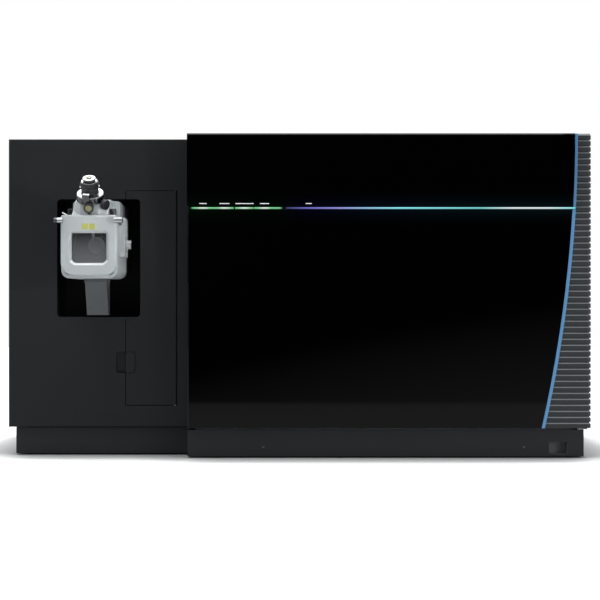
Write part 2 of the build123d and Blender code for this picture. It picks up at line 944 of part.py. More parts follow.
def sweep_cone():
    """Inlet cone on the end of the nose, with its sampling orifice."""
    cone = turned(
        [
            (0, 0),
            (cone_radius, 0),
            (cone_radius, 3),
            (cone_tip, cone_length),
            (0, cone_length),
        ]
    )
    cone -= Cylinder(inlet_bore, 60)
    start = (source_x, mount_face() - nose_reach, inlet_height)
    return Plane(origin=start, z_dir=(0, -1, 0)) * cone


def probe_boss():
    """Conical boss and sleeve for the probe, on the probe's own axis."""
    sleeve_end = boss_top + run_gap + ring_length
    return turned(
        [
            (0, -12),
            (boss_wide, -12),
            (boss_wide, 0),
            (boss_narrow, boss_top),
            (sleeve_radius, boss_top),
            (sleeve_radius, sleeve_end),
            (0, sleeve_end),
        ]
    )


def dial_seat(angle):
    """Frame of a dial on the boss: +Z outwards from the probe's axis, turned from the front."""
    turn = math.radians(angle)
    way = (math.sin(turn), -math.cos(turn), 0)
    local = Plane(origin=(0, 0, dial_station), z_dir=way)
    return Plane(seat_plane().location * local.location)


def source_housing():
    """Cast source chamber: side walls, rear block, wedge and probe boss in one piece."""
    y_rim = ahead(source_front - cover_thick)
    y_back = ahead(source_back)
    body = arch(
        source_x - source_half,
        source_x + source_half,
        y_rim,
        y_back,
        source_bottom,
        source_shelf,
        3,
        corner_small,
    )
    body += arch(
        source_x - rear_block_half,
        source_x + rear_block_half,
        ahead(rear_block_front),
        y_back,
        source_shelf - 20,
        rear_block_top,
        8,
        1,
    )
    slope = math.tan(math.radians(probe_tilt))
    crown = seat_ahead - (rear_block_top - seat_level) / slope
    body += prism_x(
        [
            (ahead(rear_block_front - 5), source_shelf - 5),
            (ahead(rear_block_front - 5), rear_block_top),
            (ahead(crown), rear_block_top),
            (y_rim, seat_level - (ahead(seat_ahead) - y_rim) * slope),
            (y_rim, source_shelf - 5),
        ],
        source_x - wedge_half,
        source_x + wedge_half,
    )
    body += seat_plane() * probe_boss()
    body -= block(source_x - 100, source_x + 100, y_rim - 60, y_rim, source_bottom - 10, source_shelf + 60)
    x0, x1 = source_x + source_half - 5, source_x + source_half + block_out
    body += arch(x0, x1, ahead(block_front - block_step), ahead(block_back), block_bottom, block_top, 8, 3)
    body += arch(
        x0, x1, ahead(block_front), ahead(block_back), block_bottom, (block_bottom + block_top) / 2 - 6, 3, 3
    )
    inner = source_half - source_wall
    body -= arch(
        source_x - inner,
        source_x + inner,
        y_rim - 1,
        y_back + 1,
        source_bottom + source_wall,
        source_shelf - source_wall,
        3,
        corner_small - source_wall,
    )
    body -= seat_plane() * Cylinder(probe_radius + probe_clearance, 200)
    for side in (-1, 1):
        x, z = source_x + side * wedge_half, source_shelf + 18
        body -= rod((x, y_back + 1, z), (x, y_back - guide_length - 2, z), guide_radius + guide_clearance)
        x, y = source_x + side * (source_half - source_wall), ahead(lever_ahead)
        body -= rod((x, y, lever_level), (x + side * 20, y, lever_level), lever_pin + 0.05)
    bore = source_x + source_half + block_out
    y = ahead(needle_ahead)
    return body - rod((bore - 8.5, y, needle_level), (bore + 1, y, needle_level), needle_radius + 0.05)


def source_cover():
    """Front cover casting with the bevelled window opening and the glass's rebate."""
    y0 = ahead(source_front)
    y1 = ahead(source_front - cover_thick)
    plate = arch(
        source_x - source_half,
        source_x + source_half,
        y0,
        y1,
        cover_bottom,
        source_shelf,
        cover_round + 1,
        corner_big,
    )
    plate = fillet(plate.faces().sort_by(Axis.Y)[0].edges(), cover_round)
    hole = window_outline(0, y0 - 1, y1 + 1)
    hole += window_outline(window_rebate, y0 + glass_inset, y1 + 1)
    plate -= hole
    bevel = window_outline(window_bevel, y0 - 1, y0 + window_bevel)
    taper = chamfer(bevel.faces().sort_by(Axis.Y)[-1].edges(), window_bevel - 0.1)
    return plate - taper


def window_outline(grow, y0, y1):
    """The window's rounded outline, grown by a margin, between two depths."""
    half = window_width / 2 + grow
    z0, z1 = window_sill - grow, window_sill + window_height + grow
    return arch(source_x - half, source_x + half, y0, y1, z0, z1, 4 + grow, window_round + grow)


def window_glass():
    """Sight glass in the cover's rebate."""
    y0 = ahead(source_front) + glass_inset
    return window_outline(window_rebate - 0.2, y0, y0 + glass_thick)


def window_retainer():
    """Frame that holds the sight glass in its rebate."""
    y0 = ahead(source_front) + glass_inset + glass_thick
    y1 = ahead(source_front - cover_thick)
    return window_outline(window_rebate - 0.2, y0, y1) - window_outline(0, y0 - 1, y1 + 1)


def lock_lever(side):
    """Side lever: hub with its pivot, a flat arm and a round grip that closes over the front cover."""
    x0 = source_x + side * (source_half + 0.3)
    x1 = x0 + side * lever_thick
    pivot_y, grip_y = ahead(lever_ahead), ahead(source_reach) + knob_radius
    low, high = min(x0, x1), max(x0, x1)
    lever = rod((low, pivot_y, lever_level), (high, pivot_y, lever_level), lever_hub)
    lever += rod((low, grip_y, lever_level), (high, grip_y, lever_level), knob_radius)
    lever += block(low, high, grip_y, pivot_y, lever_level - knob_radius, lever_level + knob_radius)
    grip_in = source_x + side * knob_inner
    grip_out = source_x + side * knob_outer
    grip = rod((grip_in, grip_y, lever_level), (grip_out, grip_y, lever_level), knob_radius)
    grip = fillet(grip.edges().filter_by(GeomType.CIRCLE), 1.5)
    pin_end = source_x + side * (source_half - source_wall + 1)
    return lever + grip + rod((x1, pivot_y, lever_level), (pin_end, pivot_y, lever_level), lever_pin)


def lock_ring():
    """Knurled locking ring that turns on the sleeve, with its finger lever at the front."""
    start = boss_top + run_gap
    ring = Pos(0, 0, start) * Cylinder(
        ring_radius, ring_length - run_gap, align=(Align.CENTER, Align.CENTER, Align.MIN)
    )
    ring = chamfer(ring.edges().filter_by(GeomType.CIRCLE).sort_by(Axis.Z)[-1], 2)
    ring = fluted(ring, flute_count, ring_radius + 4, 6, start + 4, start + ring_length - 4)
    reach0, reach1 = start + ring_length / 2 + 2, start + ring_length / 2 + 2 + ring_lever_reach
    half = ring_lever_width / 2
    outer = -ring_radius - 4.5
    lever = block(-half, half, outer, -ring_radius + 6, reach0, start + ring_length - run_gap)
    lever += block(-half, half, outer, -ring_radius + 0.5, reach0, reach1)
    lever = fillet(lever.edges().filter_by(Axis.Y).sort_by(Axis.Z)[-2:], 3)
    ring += Rot(0, 0, -8) * lever
    ring -= Cylinder(sleeve_radius + run_gap, 200)
    return seat_plane() * ring


def probe_stations():
    """Stations of the probe's stacked parts, from the ring's outer face to the cap's."""
    collar = boss_top + 2 * run_gap + ring_length
    band = collar + fluted_length
    grip = band + 1.5
    trim = grip + grip_length
    neck = trim + band_length
    cap = neck + neck_length
    return collar, band, grip, trim, neck, cap


def probe_tube():
    """Probe's inner tube, tapering to the spray nozzle inside the chamber."""
    collar, band, grip, trim, neck, cap = probe_stations()
    tube = turned(
        [
            (0, nozzle_tip),
            (nozzle_radius, nozzle_tip),
            (nozzle_radius + 2, nozzle_root),
            (probe_radius, nozzle_root + 4),
            (probe_radius, collar),
            (0, collar),
        ]
    )
    tube -= Pos(0, 0, nozzle_tip) * Cylinder(1, 20)
    return seat_plane() * tube


def disc(start, end, radius):
    """A disc on the probe's axis between two stations."""
    return Pos(0, 0, start) * Cylinder(radius, end - start, align=(Align.CENTER, Align.CENTER, Align.MIN))


def probe_collar():
    """Fluted collar that seats on the sleeve."""
    collar, band, grip, trim, neck, cap = probe_stations()
    plain = disc(collar, band, fluted_radius)
    return seat_plane() * fluted(plain, 2 * flute_count, fluted_radius + 0.6, 1.6, collar - 1, band + 1)


def probe_bands():
    """Bright bands of the probe head, and its cap."""
    collar, band, grip, trim, neck, cap = probe_stations()
    top = chamfer(disc(cap, cap + cap_length, cap_radius).edges().sort_by(Axis.Z)[-1], 1)
    dimple = Pos(0, 0, cap + cap_length) * Cylinder(4, 2)
    solids = [
        disc(band, grip, grip_radius + 1.2),
        chamfer(disc(trim, neck, band_radius).edges().sort_by(Axis.Z)[-1], 0.8),
        top - dimple,
    ]
    return Compound([seat_plane() * solid for solid in solids])


def probe_grip():
    """Black insulated rings of the probe head."""
    collar, band, grip, trim, neck, cap = probe_stations()
    wide = chamfer(disc(grip, trim, grip_radius).edges().filter_by(GeomType.CIRCLE), 0.8)
    return Compound([seat_plane() * wide, seat_plane() * disc(neck, cap, neck_radius)])


def boss_dial(angle, start):
    """Knurled dial whose inner face is that far from the probe's axis, on a stem in the boss."""
    end = start + dial_length
    body = disc(start, end, dial_radius)
    body = fluted(body, 2 * flute_count, dial_radius + 0.5, 1.1, start + 1, end - 2)
    body -= Pos(0, 0, end) * Cylinder(dial_radius - 4, 2)
    return dial_seat(angle) * (body + disc(boss_narrow - 4, start, dial_stem))


def boss_stem_hole(angle):
    """Bore in the boss for a dial's stem."""
    return dial_seat(angle) * disc(boss_narrow - 4.3, side_dial_out, dial_stem + 0.05)


def thumb_screws():
    """Two knurled screws on the housing's shelf."""
    body = Cylinder(thumb_radius, thumb_height, align=(Align.CENTER, Align.CENTER, Align.MIN))
    body = chamfer(body.edges().filter_by(GeomType.CIRCLE), 1)
    body = fluted(body, 16, thumb_radius + 0.4, 1, 2, thumb_height - 2)
    y = ahead(thumb_ahead)
    return Compound([Pos(source_x + side * thumb_side, y, source_shelf) * body for side in (-1, 1)])


def needle_knob():
    """Knurled valve knob on the housing's right block."""
    face = source_x + source_half + block_out
    body = Pos(0, 0, 0.3) * Cylinder(
        needle_knob_radius, needle_knob_length, align=(Align.CENTER, Align.CENTER, Align.MIN)
    )
    body = fluted(body, 16, needle_knob_radius + 0.6, 1.4, 2, needle_knob_length + 1)
    body += disc(-8, 0.5, needle_radius)
    return Plane(origin=(face, ahead(needle_ahead), needle_level), z_dir=(1, 0, 0)) * body


def drain_duct():
    """Drain and exhaust duct that hangs under the chamber, with a collar at its head and open at its foot."""
    x0, x1 = source_x - duct_width / 2, source_x + duct_width / 2
    outer = prism_x(
        [
            (ahead(duct_back), source_bottom),
            (ahead(duct_back), duct_foot),
            (ahead(duct_foot_front), duct_foot),
            (ahead(duct_top_front), source_bottom),
        ],
        x0,
        x1,
    )
    uprights = outer.faces().sort_by(Axis.Y)[0].edges().filter_by(Axis.X, reverse=True)
    outer = fillet(uprights, duct_edge)
    collar_front = ahead(duct_top_front + 1)
    outer += block(x0 - 1, x1 + 1, collar_front, ahead(duct_back), source_bottom - duct_collar, source_bottom)
    inner = prism_x(
        [
            (ahead(duct_back + duct_wall), source_bottom - duct_wall),
            (ahead(duct_back + duct_wall), duct_foot - 1),
            (ahead(duct_foot_front - duct_wall), duct_foot - 1),
            (ahead(duct_top_front - 1.5 * duct_wall), source_bottom - duct_wall),
        ],
        x0 + duct_wall,
        x1 - duct_wall,
    )
    return outer - inner


# ------------------------------------------------------------------ fluidics behind the door
def pump_x():
    """Centre of the syringe pump, side to side."""
    return (door_x0 + door_x1) / 2


def pump_front():
    """Y of the syringe pump's front face."""
    return y_left + bay_depth - sheet - pump_thick


def rod_y():
    """Y of the pusher's rods, ahead of the pump's face."""
    return pump_front() - 14


def syringe_pump():
    """Pump body with its two end brackets and the pusher's guide rods."""
    x = pump_x()
    x0, x1 = x - pump_width / 2, x + pump_width / 2
    z0, z1 = pump_bottom, pump_bottom + pump_height
    body = block(x0, x1, pump_front(), pump_front() + pump_thick, z0, z1)
    for z in (z0, z1 - 10):
        body += block(x0, x1, rod_y() - 10, pump_front(), z, z + 10)
    for side in (-1, 1):
        rod_x = x + side * pump_rod_spacing / 2
        body += rod((rod_x, rod_y(), z0 + 5), (rod_x, rod_y(), z1 - 5), pump_rod_radius)
    for z in (z0, z1 - 10):
        body -= rod((x, rod_y(), z + 2), (x, rod_y(), z + 8), pump_rod_radius + 0.05)
    return body - rod((x, rod_y(), z0 + 8), (x, rod_y(), z1 - 8), pump_rod_radius + 0.05)


def pump_screw():
    """Lead screw between the pump's brackets."""
    x = pump_x()
    z0, z1 = pump_bottom + 2.3, pump_bottom + pump_height - 2.3
    return rod((x, rod_y(), z0), (x, rod_y(), z1), pump_rod_radius)


def syringe_x():
    """The syringe stands beside the lead screw, clear of the rods."""
    return pump_x() - 10.0


def syringe_y():
    """Y of the syringe's axis, ahead of the rods."""
    return rod_y() - pump_rod_radius - syringe_radius - 6


def pump_pusher():
    """Pusher block on the rods, with the syringe's plunger."""
    x = pump_x()
    z0 = pusher_rest
    half = pump_width / 2 - 3
    pusher = block(
        x - half, x + half, syringe_y() - 8, pump_front() - run_gap, z0, z0 + pusher_height
    )
    for side in (-1, 0, 1):
        rod_x = x + side * pump_rod_spacing / 2
        bore = pump_rod_radius + 0.05
        pusher -= rod((rod_x, rod_y(), z0 - 1), (rod_x, rod_y(), z0 + pusher_height + 1), bore)
    stem = (syringe_x(), syringe_y(), z0 + pusher_height)
    head = (syringe_x(), syringe_y(), barrel_bottom() + 4)
    pusher += rod(stem, head, 2)
    tip = (syringe_x(), syringe_y(), barrel_bottom() + 10)
    return pusher + rod(head, tip, syringe_radius - 1.6)


def barrel_bottom():
    """Lower end of the syringe's barrel."""
    return pump_bottom + pump_height - 10 - syringe_length


def syringe_barrel():
    """Glass barrel held in the upper bracket's nose."""
    x, y, z = syringe_x(), syringe_y(), barrel_bottom()
    barrel = rod((x, y, z), (x, y, z + syringe_length), syringe_radius)
    barrel -= rod((x, y, z - 1), (x, y, z + syringe_length - 4), syringe_radius - 1.55)
    return barrel + rod((x, y, z + syringe_length), (x, y, z + syringe_length + 8), 3)


def divert_valve():
    """Six-port valve on the bay's rear wall, beside the alcove."""
    x = (alcove_x1 + door_x1) / 2 + 3
    y1 = y_left + bay_depth - sheet
    body = rod((x, y1, valve_level), (x, y1 - valve_length, valve_level), valve_radius)
    body += block(x - 30, x + 30, y1 - 4, y1, valve_level - 30, valve_level + 30)
    port = Plane(origin=(x, y1 - valve_length, valve_level), z_dir=(0, -1, 0))
    nut = extrude(RegularPolygon(3.4, 6), 6)
    for place in PolarLocations(0.62 * valve_radius, 6):
        body += port * place * nut
    return body + port * Cylinder(4, 8, align=(Align.CENTER, Align.CENTER, Align.MIN))


# ------------------------------------------------------------------ vacuum system
def turbo_centres():
    """X of the two turbo pumps under the manifold."""
    return manifold_x0 + 0.2 * manifold_length, manifold_x0 + 0.72 * manifold_length


def turbo_y():
    """Y of the turbo pumps' axes."""
    return manifold_y + manifold_depth / 2


turbo_bottom = manifold_z0 - turbo_length
stub_level = turbo_bottom + 40.0


def vacuum_manifold():
    """Machined vacuum chamber: entry port at the source, ports for the two turbo pumps below."""
    x0, x1 = manifold_x0, manifold_x0 + manifold_length
    y0, y1 = manifold_y, manifold_y + manifold_depth
    z0, z1 = manifold_z0, manifold_z0 + manifold_height
    wall = manifold_wall
    body = block(x0, x1, y0, y1, z0, z1)
    body = fillet(body.edges().filter_by(Axis.Z), 12)
    cavity = block(x0 + wall, x1 - wall, y0 + wall, y1 - wall, z0 + wall, z1 + 1)
    body -= fillet(cavity.edges().filter_by(Axis.Z), 8)
    body -= rod((source_x, y0 - 1, inlet_height), (source_x, y0 + wall + 1, inlet_height), 8)
    for x in turbo_centres():
        body -= Pos(x, turbo_y(), z0) * Cylinder(turbo_radius - 2 * turbo_wall, 3 * wall)
    return body


def manifold_lid():
    """Lid of the vacuum chamber."""
    x0, x1 = manifold_x0, manifold_x0 + manifold_length
    z1 = manifold_z0 + manifold_height
    lid = block(x0, x1, manifold_y, manifold_y + manifold_depth, z1, z1 + lid_thick)
    return chamfer(lid.faces().sort_by(Axis.Z)[-1].edges(), 2)


def manifold_stand():
    """Four legs with cross rails that carry the vacuum chamber on the base tray."""
    y0, y1 = manifold_y + 8, manifold_y + manifold_depth - 8
    stand = None
    for x in (manifold_x0 + 15, manifold_x0 + 0.45 * manifold_length, manifold_x0 + manifold_length - 40):
        legs = block(x, x + tube, y0, y0 + tube, tray_top, manifold_z0)
        legs += block(x, x + tube, y1 - tube, y1, tray_top, manifold_z0)
        legs += block(x, x + tube, y0, y1, manifold_z0 - tube, manifold_z0)
        stand = legs if stand is None else stand + legs
    low = tray_top + 40
    x0, x1 = manifold_x0 + 15, manifold_x0 + manifold_length - 15
    stand += block(x0, x1, y1 - tube, y1, low, low + tube)
    return stand


def ion_guide():
    """Bent beam guide and four quadrupole rods in their collars."""
    floor = manifold_z0 + manifold_wall + rail_height
    start_y = beam_y - bend_radius
    dip = bend_radius * (1 - math.sqrt(0.5))
    path = ThreePointArc(
        (source_x, start_y, inlet_height),
        (source_x + dip, beam_y - dip, inlet_height),
        (source_x + bend_radius, beam_y, inlet_height),
    )
    section = Plane(origin=(source_x, start_y, inlet_height), z_dir=(0, 1, 0)) * Rectangle(36, 36)
    guide = sweep(section, path)
    x = source_x + bend_radius
    solids = [guide]
    rods = x + optics_gap
    for side_y in (-1, 1):
        for side_z in (-1, 1):
            y, z = beam_y + side_y * rod_circle / 1.4, inlet_height + side_z * rod_circle / 1.4
            solids.append(rod((rods, y, z), (rods + rod_length, y, z), rod_radius))
    for offset in (20, rod_length - 40):
        collar = rod((rods + offset, beam_y, inlet_height), (rods + offset + 14, beam_y, inlet_height), 34)
        for rod_solid in solids[1:5]:
            collar -= rod_solid
        collar -= rod((rods, beam_y, inlet_height), (rods + rod_length, beam_y, inlet_height), 8)
        collar += block(rods + offset, rods + offset + 14, beam_y - 12, beam_y + 12, floor, inlet_height - 32)
        solids.append(collar)
    solids.append(block(x - 40, x - 10, beam_y - 15, beam_y + 15, floor, inlet_height - 18))
    rail_x0, rail_x1 = manifold_x0 + manifold_wall, manifold_x0 + manifold_length - manifold_wall
    solids.append(block(rail_x0, rail_x1, beam_y - 18, beam_y + 18, floor - rail_height, floor))
    return Compound(solids)


def analyser_cells():
    """Curved trap, spindle analyser and linear trap, in line with the quadrupole."""
    floor = manifold_z0 + manifold_wall + rail_height
    trap_x = source_x + bend_radius + rod_length + 2 * optics_gap
    cell_x = trap_x + trap_length + optics_gap
    linear_x = cell_x + cell_length + optics_gap
    linear_end = manifold_x0 + manifold_length - manifold_wall - end_gap
    depth = spindle_radius + 4

    def bored(x0, x1, y1, rise):
        """A block on the rail with the ion path's bore along it."""
        body = block(x0, x1, beam_y - depth, y1, floor, inlet_height + rise)
        return body - rod((x0 - 1, beam_y, inlet_height), (x1 + 1, beam_y, inlet_height), ion_bore)

    trap = bored(trap_x, trap_x + trap_length, beam_y + optics_gap, spindle_radius)
    narrow = 0.6 * spindle_radius
    seat = (trap_x + trap_length / 2, beam_y + optics_gap, inlet_height)
    barrel = Plane(origin=seat, z_dir=(0, 1, 0)) * turned(
        [(0, 0), (narrow, 0), (spindle_radius, narrow), (narrow, 2 * narrow), (0, 2 * narrow)]
    )
    cell = rod((cell_x, beam_y, inlet_height), (cell_x + cell_length, beam_y, inlet_height), cell_radius)
    cell += block(
        cell_x + 10, cell_x + cell_length - 10, beam_y - 12, beam_y + 12, floor, inlet_height - 0.8 * cell_radius
    )
    return Compound([trap, barrel, cell, bored(linear_x, linear_end, beam_y + depth, depth)])


def turbo_bodies():
    """Two turbo pump housings, hung from the chamber's floor."""
    solids = []
    for x in turbo_centres():
        body = turned(
            [
                (turbo_hub - 12, 0),
                (turbo_radius - 22, 0),
                (turbo_radius - 22, 60),
                (turbo_radius - 10, 70),
                (turbo_radius - 10, turbo_length - 16),
                (turbo_radius, turbo_length - 16),
                (turbo_radius, turbo_length),
                (turbo_radius - 2 * turbo_wall, turbo_length),
                (turbo_radius - 2 * turbo_wall - 6, 74),
                (turbo_hub - 12, 74),
            ]
        )
        solids.append(Pos(x, turbo_y(), turbo_bottom) * body)
    return Compound(solids)


def turbo_rotor(x):
    """Turbo rotor: shaft, hub and three stages of pitched blades."""
    hub = turned(
        [
            (0, 4),
            (turbo_hub - 12.05, 4),
            (turbo_hub - 12.05, 76),
            (turbo_hub, 76),
            (turbo_hub, turbo_length - 40),
            (turbo_hub - 8, turbo_length - 30),
            (0, turbo_length - 30),
        ]
    )
    tip = turbo_radius - 2 * turbo_wall - 8
    blade = Pos((turbo_hub + tip) / 2 - 2, 0, 0) * Rot(35, 0, 0) * Box(tip - turbo_hub + 4, 2.5, 18)
    for stage in range(stage_count):
        height = 96 + stage * 26
        for place in PolarLocations(0, blade_count):
            hub += Pos(0, 0, height) * place * blade
    return Pos(x, turbo_y(), turbo_bottom) * hub


def foreline_stubs():
    """Fore-vacuum pipes from the turbo pumps out through the rear covers."""
    solids = []
    for x in turbo_centres():
        y0, y1 = turbo_y() + turbo_radius - 22, y_rear + stub_length
        pipe = rod((x, y0, stub_level), (x, y_rear, stub_level), stub_radius - stub_shoulder)
        pipe += rod((x, y_rear, stub_level), (x, y1, stub_level), stub_radius)
        pipe -= rod((x, y0 + 20, stub_level), (x, y1 + 1, stub_level), stub_radius - stub_wall)
        saddle = Pos(x, turbo_y(), stub_level) * Cylinder(turbo_radius - 22, 60)
        solids.append(pipe - saddle)
    return Compound(solids)


# ------------------------------------------------------------------ cooling and power
def fan_centres():
    """X of the two rear fans."""
    middle = (x_split + side_face) / 2 + 120
    return middle - fan_spacing / 2, middle + fan_spacing / 2


def fan_frames():
    """Two square fan frames behind the rear grilles, each with its motor hub and struts."""
    solids = []
    y1 = y_rear - sheet
    for x in fan_centres():
        half = fan_size / 2
        frame = block(x - half, x + half, y1 - fan_thick, y1, fan_level - half, fan_level + half)
        frame = fillet(frame.edges().filter_by(Axis.Y), 5)
        frame -= rod((x, y1 - fan_thick - 1, fan_level), (x, y1 + 1, fan_level), fan_bore)
        hub_start = y1 - fan_thick
        frame += rod((x, hub_start, fan_level), (x, hub_start + 8, fan_level), fan_hub)
        for turn in (0, 90, 180, 270):
            strut = Pos((fan_hub + fan_bore) / 2, 4, 0) * Box(fan_bore - fan_hub + 8, 8, 5)
            frame += Pos(x, hub_start, fan_level) * Rot(0, turn, 0) * strut
        frame -= rod((x, hub_start - 1, fan_level), (x, hub_start + 9, fan_level), 3.05)
        solids.append(frame)
    return Compound(solids)


def fan_rotor(x):
    """Fan rotor with seven pitched blades on a stub shaft."""
    y0 = y_rear - sheet - fan_thick + 8.4
    reach = fan_thick - 8.4 - 3
    hub = rod((0, 0, 0), (0, reach, 0), fan_hub)
    blade = Pos((fan_hub + fan_bore) / 2 - 2, reach / 2, 0) * Rot(38, 0, 0) * Box(fan_bore - fan_hub, 24, 2)
    for i in range(7):
        hub += Rot(0, i * 360 / 7, 0) * blade
    hub += rod((0, -8, 0), (0, 1, 0), 3)
    return Pos(x, y0, fan_level) * hub


def power_x0():
    """Left edge of the mains entry."""
    return side_face - 60 - power_width


def power_entry():
    """Mains entry: a recessed plate with the inlet socket's well and the switch's frame."""
    x0, x1 = power_x0() + 0.3, power_x0() + power_width - 0.3
    z0, z1 = power_level + 0.3, power_level + power_height - 0.3
    y0 = y_rear - 45
    body = block(x0, x1, y0, y_rear, z0, z1)
    socket_x, switch_x = x0 + 45, x1 - 35
    middle = (z0 + z1) / 2
    well = block(socket_x - 14, socket_x + 14, y_rear - 16, y_rear + 1, middle - 10, middle + 10)
    well = chamfer(well.edges().filter_by(Axis.Y).sort_by(Axis.Z)[-2:], 5)
    body -= well
    for offset, rise in ((-7, -3), (0, 3), (7, -3)):
        x = socket_x + offset
        body += block(x - 1, x + 1, y_rear - 17, y_rear - 6, middle + rise - 2, middle + rise + 2)
    body -= block(
        switch_x - rocker_width / 2 - 0.4,
        switch_x + rocker_width / 2 + 0.4,
        y_rear - 14,
        y_rear + 1,
        middle - rocker_height / 2 - 3,
        middle + rocker_height / 2 + 3,
    )
    return body


def switch_centre():
    """Pivot of the main switch's rocker."""
    return power_x0() + power_width - 35.3, y_rear - 6, power_level + power_height / 2


def main_switch():
    """Rocker of the main switch."""
    x, y, z = switch_centre()
    half = rocker_width / 2
    rocker = prism_x(
        [
            (y - 5, z),
            (y - 1, z - rocker_height / 2),
            (y + 4, z - rocker_height / 2),
            (y + 5.5, z),
            (y + 8.5, z + rocker_height / 2),
            (y - 1, z + rocker_height / 2),
        ],
        x - half,
        x + half,
    )
    return rocker + rod((x - half - 0.3, y, z), (x + half + 0.3, y, z), 1.5)


def electronics():
    """Power supply, radio-frequency supply and card cage on the base tray."""
    supply_x = x_split + supply_inset
    rf_x = supply_x + supply_width + supply_gap
    cage_x = rf_x + rf_width + cage_gap
    y0 = y_front + 2 * fascia_depth
    supply = block(supply_x, supply_x + supply_width, y0, y0 + supply_depth, tray_top, tray_top + supply_height)
    rf = block(rf_x, rf_x + rf_width, y0, y0 + supply_depth, tray_top, tray_top + rf_height)
    x1, z1 = cage_x + cage_width, tray_top + cage_height
    cage_y = y0 + supply_depth / 3
    cage = block(cage_x, x1, cage_y, cage_y + cage_depth, tray_top, z1)
    cage -= block(
        cage_x + cage_wall,
        x1 - cage_wall,
        cage_y - 1,
        cage_y + cage_depth - cage_wall,
        tray_top + cage_wall,
        z1 - cage_wall,
    )
    pitch = cage_width / (card_count + 1)
    for i in range(card_count):
        card_x = cage_x + (i + 1) * pitch
        cage += block(
            card_x, card_x + sheet, cage_y + 10, cage_y + cage_depth, tray_top + cage_wall, z1 - cage_wall
        )
    return Compound([supply, rf, cage])


# ------------------------------------------------------------------ the whole object
def build():
    """Every node's name with its shape."""
    fans = fan_centres()
    turbos = turbo_centres()
    return {
        "levelling_feet": levelling_feet(),
        "base_tray": base_tray(),
        "left_plinth": left_plinth(),
        "right_plinth": right_plinth(),
        "cabinet_frame": cabinet_frame(),
        "left_front_panel": left_front_panel(),
        "left_side_panel": left_side_panel(),
        "left_top_panel": left_top_panel(),
        "alcove_liner": alcove_liner(),
        "fluidics_bay": fluidics_bay(),
        "door_hinge_pins": door_hinge_pins(),
        "access_door": access_door(),
        "lower_fascia": lower_fascia(),
        "visor": visor(),
        "status_lights": status_lights(),
        "scan_light": scan_light(),
        "curved_trim": curved_trim(),
        "ribbed_corner": ribbed_corner(),
        "cheek_panel": cheek_panel(),
        "right_side_panel": right_side_panel(),
        "right_top_panel": right_top_panel(),
        "rear_panels": rear_panels(),
        "source_mount": source_mount(),
        "sweep_cone": sweep_cone(),
        "source_housing": source_housing() - boss_stem_hole(0) - boss_stem_hole(side_dial_turn),
        "source_cover": source_cover(),
        "window_glass": window_glass(),
        "window_retainer": window_retainer(),
        "lock_lever_left": lock_lever(-1),
        "lock_lever_right": lock_lever(1),
        "lock_ring": lock_ring(),
        "probe_tube": probe_tube(),
        "probe_collar": probe_collar(),
        "probe_bands": probe_bands(),
        "probe_grip": probe_grip(),
        "depth_dial": boss_dial(0, dial_out),
        "side_dial": boss_dial(side_dial_turn, side_dial_out),
        "thumb_screws": thumb_screws(),
        "needle_knob": needle_knob(),
        "drain_duct": drain_duct(),
        "syringe_pump": syringe_pump(),
        "pump_screw": pump_screw(),
        "pump_pusher": pump_pusher(),
        "syringe_barrel": syringe_barrel(),
        "divert_valve": divert_valve(),
        "vacuum_manifold": vacuum_manifold(),
        "manifold_lid": manifold_lid(),
        "manifold_stand": manifold_stand(),
        "ion_guide": ion_guide(),
        "analyser_cells": analyser_cells(),
        "turbo_bodies": turbo_bodies(),
        "turbo_rotor_left": turbo_rotor(turbos[0]),
        "turbo_rotor_right": turbo_rotor(turbos[1]),
        "foreline_stubs": foreline_stubs(),
        "fan_frames": fan_frames(),
        "fan_rotor_left": fan_rotor(fans[0]),
        "fan_rotor_right": fan_rotor(fans[1]),
        "power_entry": power_entry(),
        "main_switch": main_switch(),
        "electronics": electronics(),
    }


os.makedirs("parts", exist_ok=True)
for name, shape in build().items():
    export_step(shape, f"parts/{name}.step")
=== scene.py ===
"""Looks of a wide bench mass spectrometer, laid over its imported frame."""

import json
import logging
import math
from collections.abc import Callable, Sequence
from dataclasses import dataclass
from enum import Enum

import bmesh
import bpy
from mathutils import Matrix, Vector


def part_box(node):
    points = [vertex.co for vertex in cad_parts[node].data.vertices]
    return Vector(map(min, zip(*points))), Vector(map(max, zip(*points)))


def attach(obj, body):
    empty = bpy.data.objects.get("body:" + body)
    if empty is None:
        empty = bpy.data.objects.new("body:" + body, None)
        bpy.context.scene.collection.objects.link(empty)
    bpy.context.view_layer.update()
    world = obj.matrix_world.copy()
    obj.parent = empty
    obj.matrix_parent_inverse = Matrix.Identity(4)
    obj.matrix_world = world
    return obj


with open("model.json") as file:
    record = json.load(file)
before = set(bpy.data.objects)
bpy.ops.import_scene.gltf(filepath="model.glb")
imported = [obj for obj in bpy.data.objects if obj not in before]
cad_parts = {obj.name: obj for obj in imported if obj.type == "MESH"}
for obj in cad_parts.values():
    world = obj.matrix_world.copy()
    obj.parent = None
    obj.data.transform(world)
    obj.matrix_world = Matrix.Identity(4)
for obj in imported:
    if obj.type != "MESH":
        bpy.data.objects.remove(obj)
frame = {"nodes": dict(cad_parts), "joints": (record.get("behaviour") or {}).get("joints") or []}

log = logging.getLogger("mass_spectrometer")
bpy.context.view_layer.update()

FILM = 0.0003  # thickness of printed marks and labels
FILM_EDGE = 0.0001  # their edge radius, and how far they are let into the face behind
CLOUD_SCALE = 7.0  # how quickly a finish's colour drifts, for each metre
SMEAR_SCALE = 40.0  # how quickly its roughness changes, for each metre

Colour = tuple[float, float, float]
Span = tuple[float, float]
Stops = tuple[tuple[float, Colour], ...]
Profile = Sequence[Span]
Socket = bpy.types.NodeSocket


# ---------------------------------------------------------------- places read from the frame
def low(node: str) -> Vector:
    """Lowest corner of a CAD node."""
    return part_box(node)[0]


def high(node: str) -> Vector:
    """Highest corner of a CAD node."""
    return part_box(node)[1]


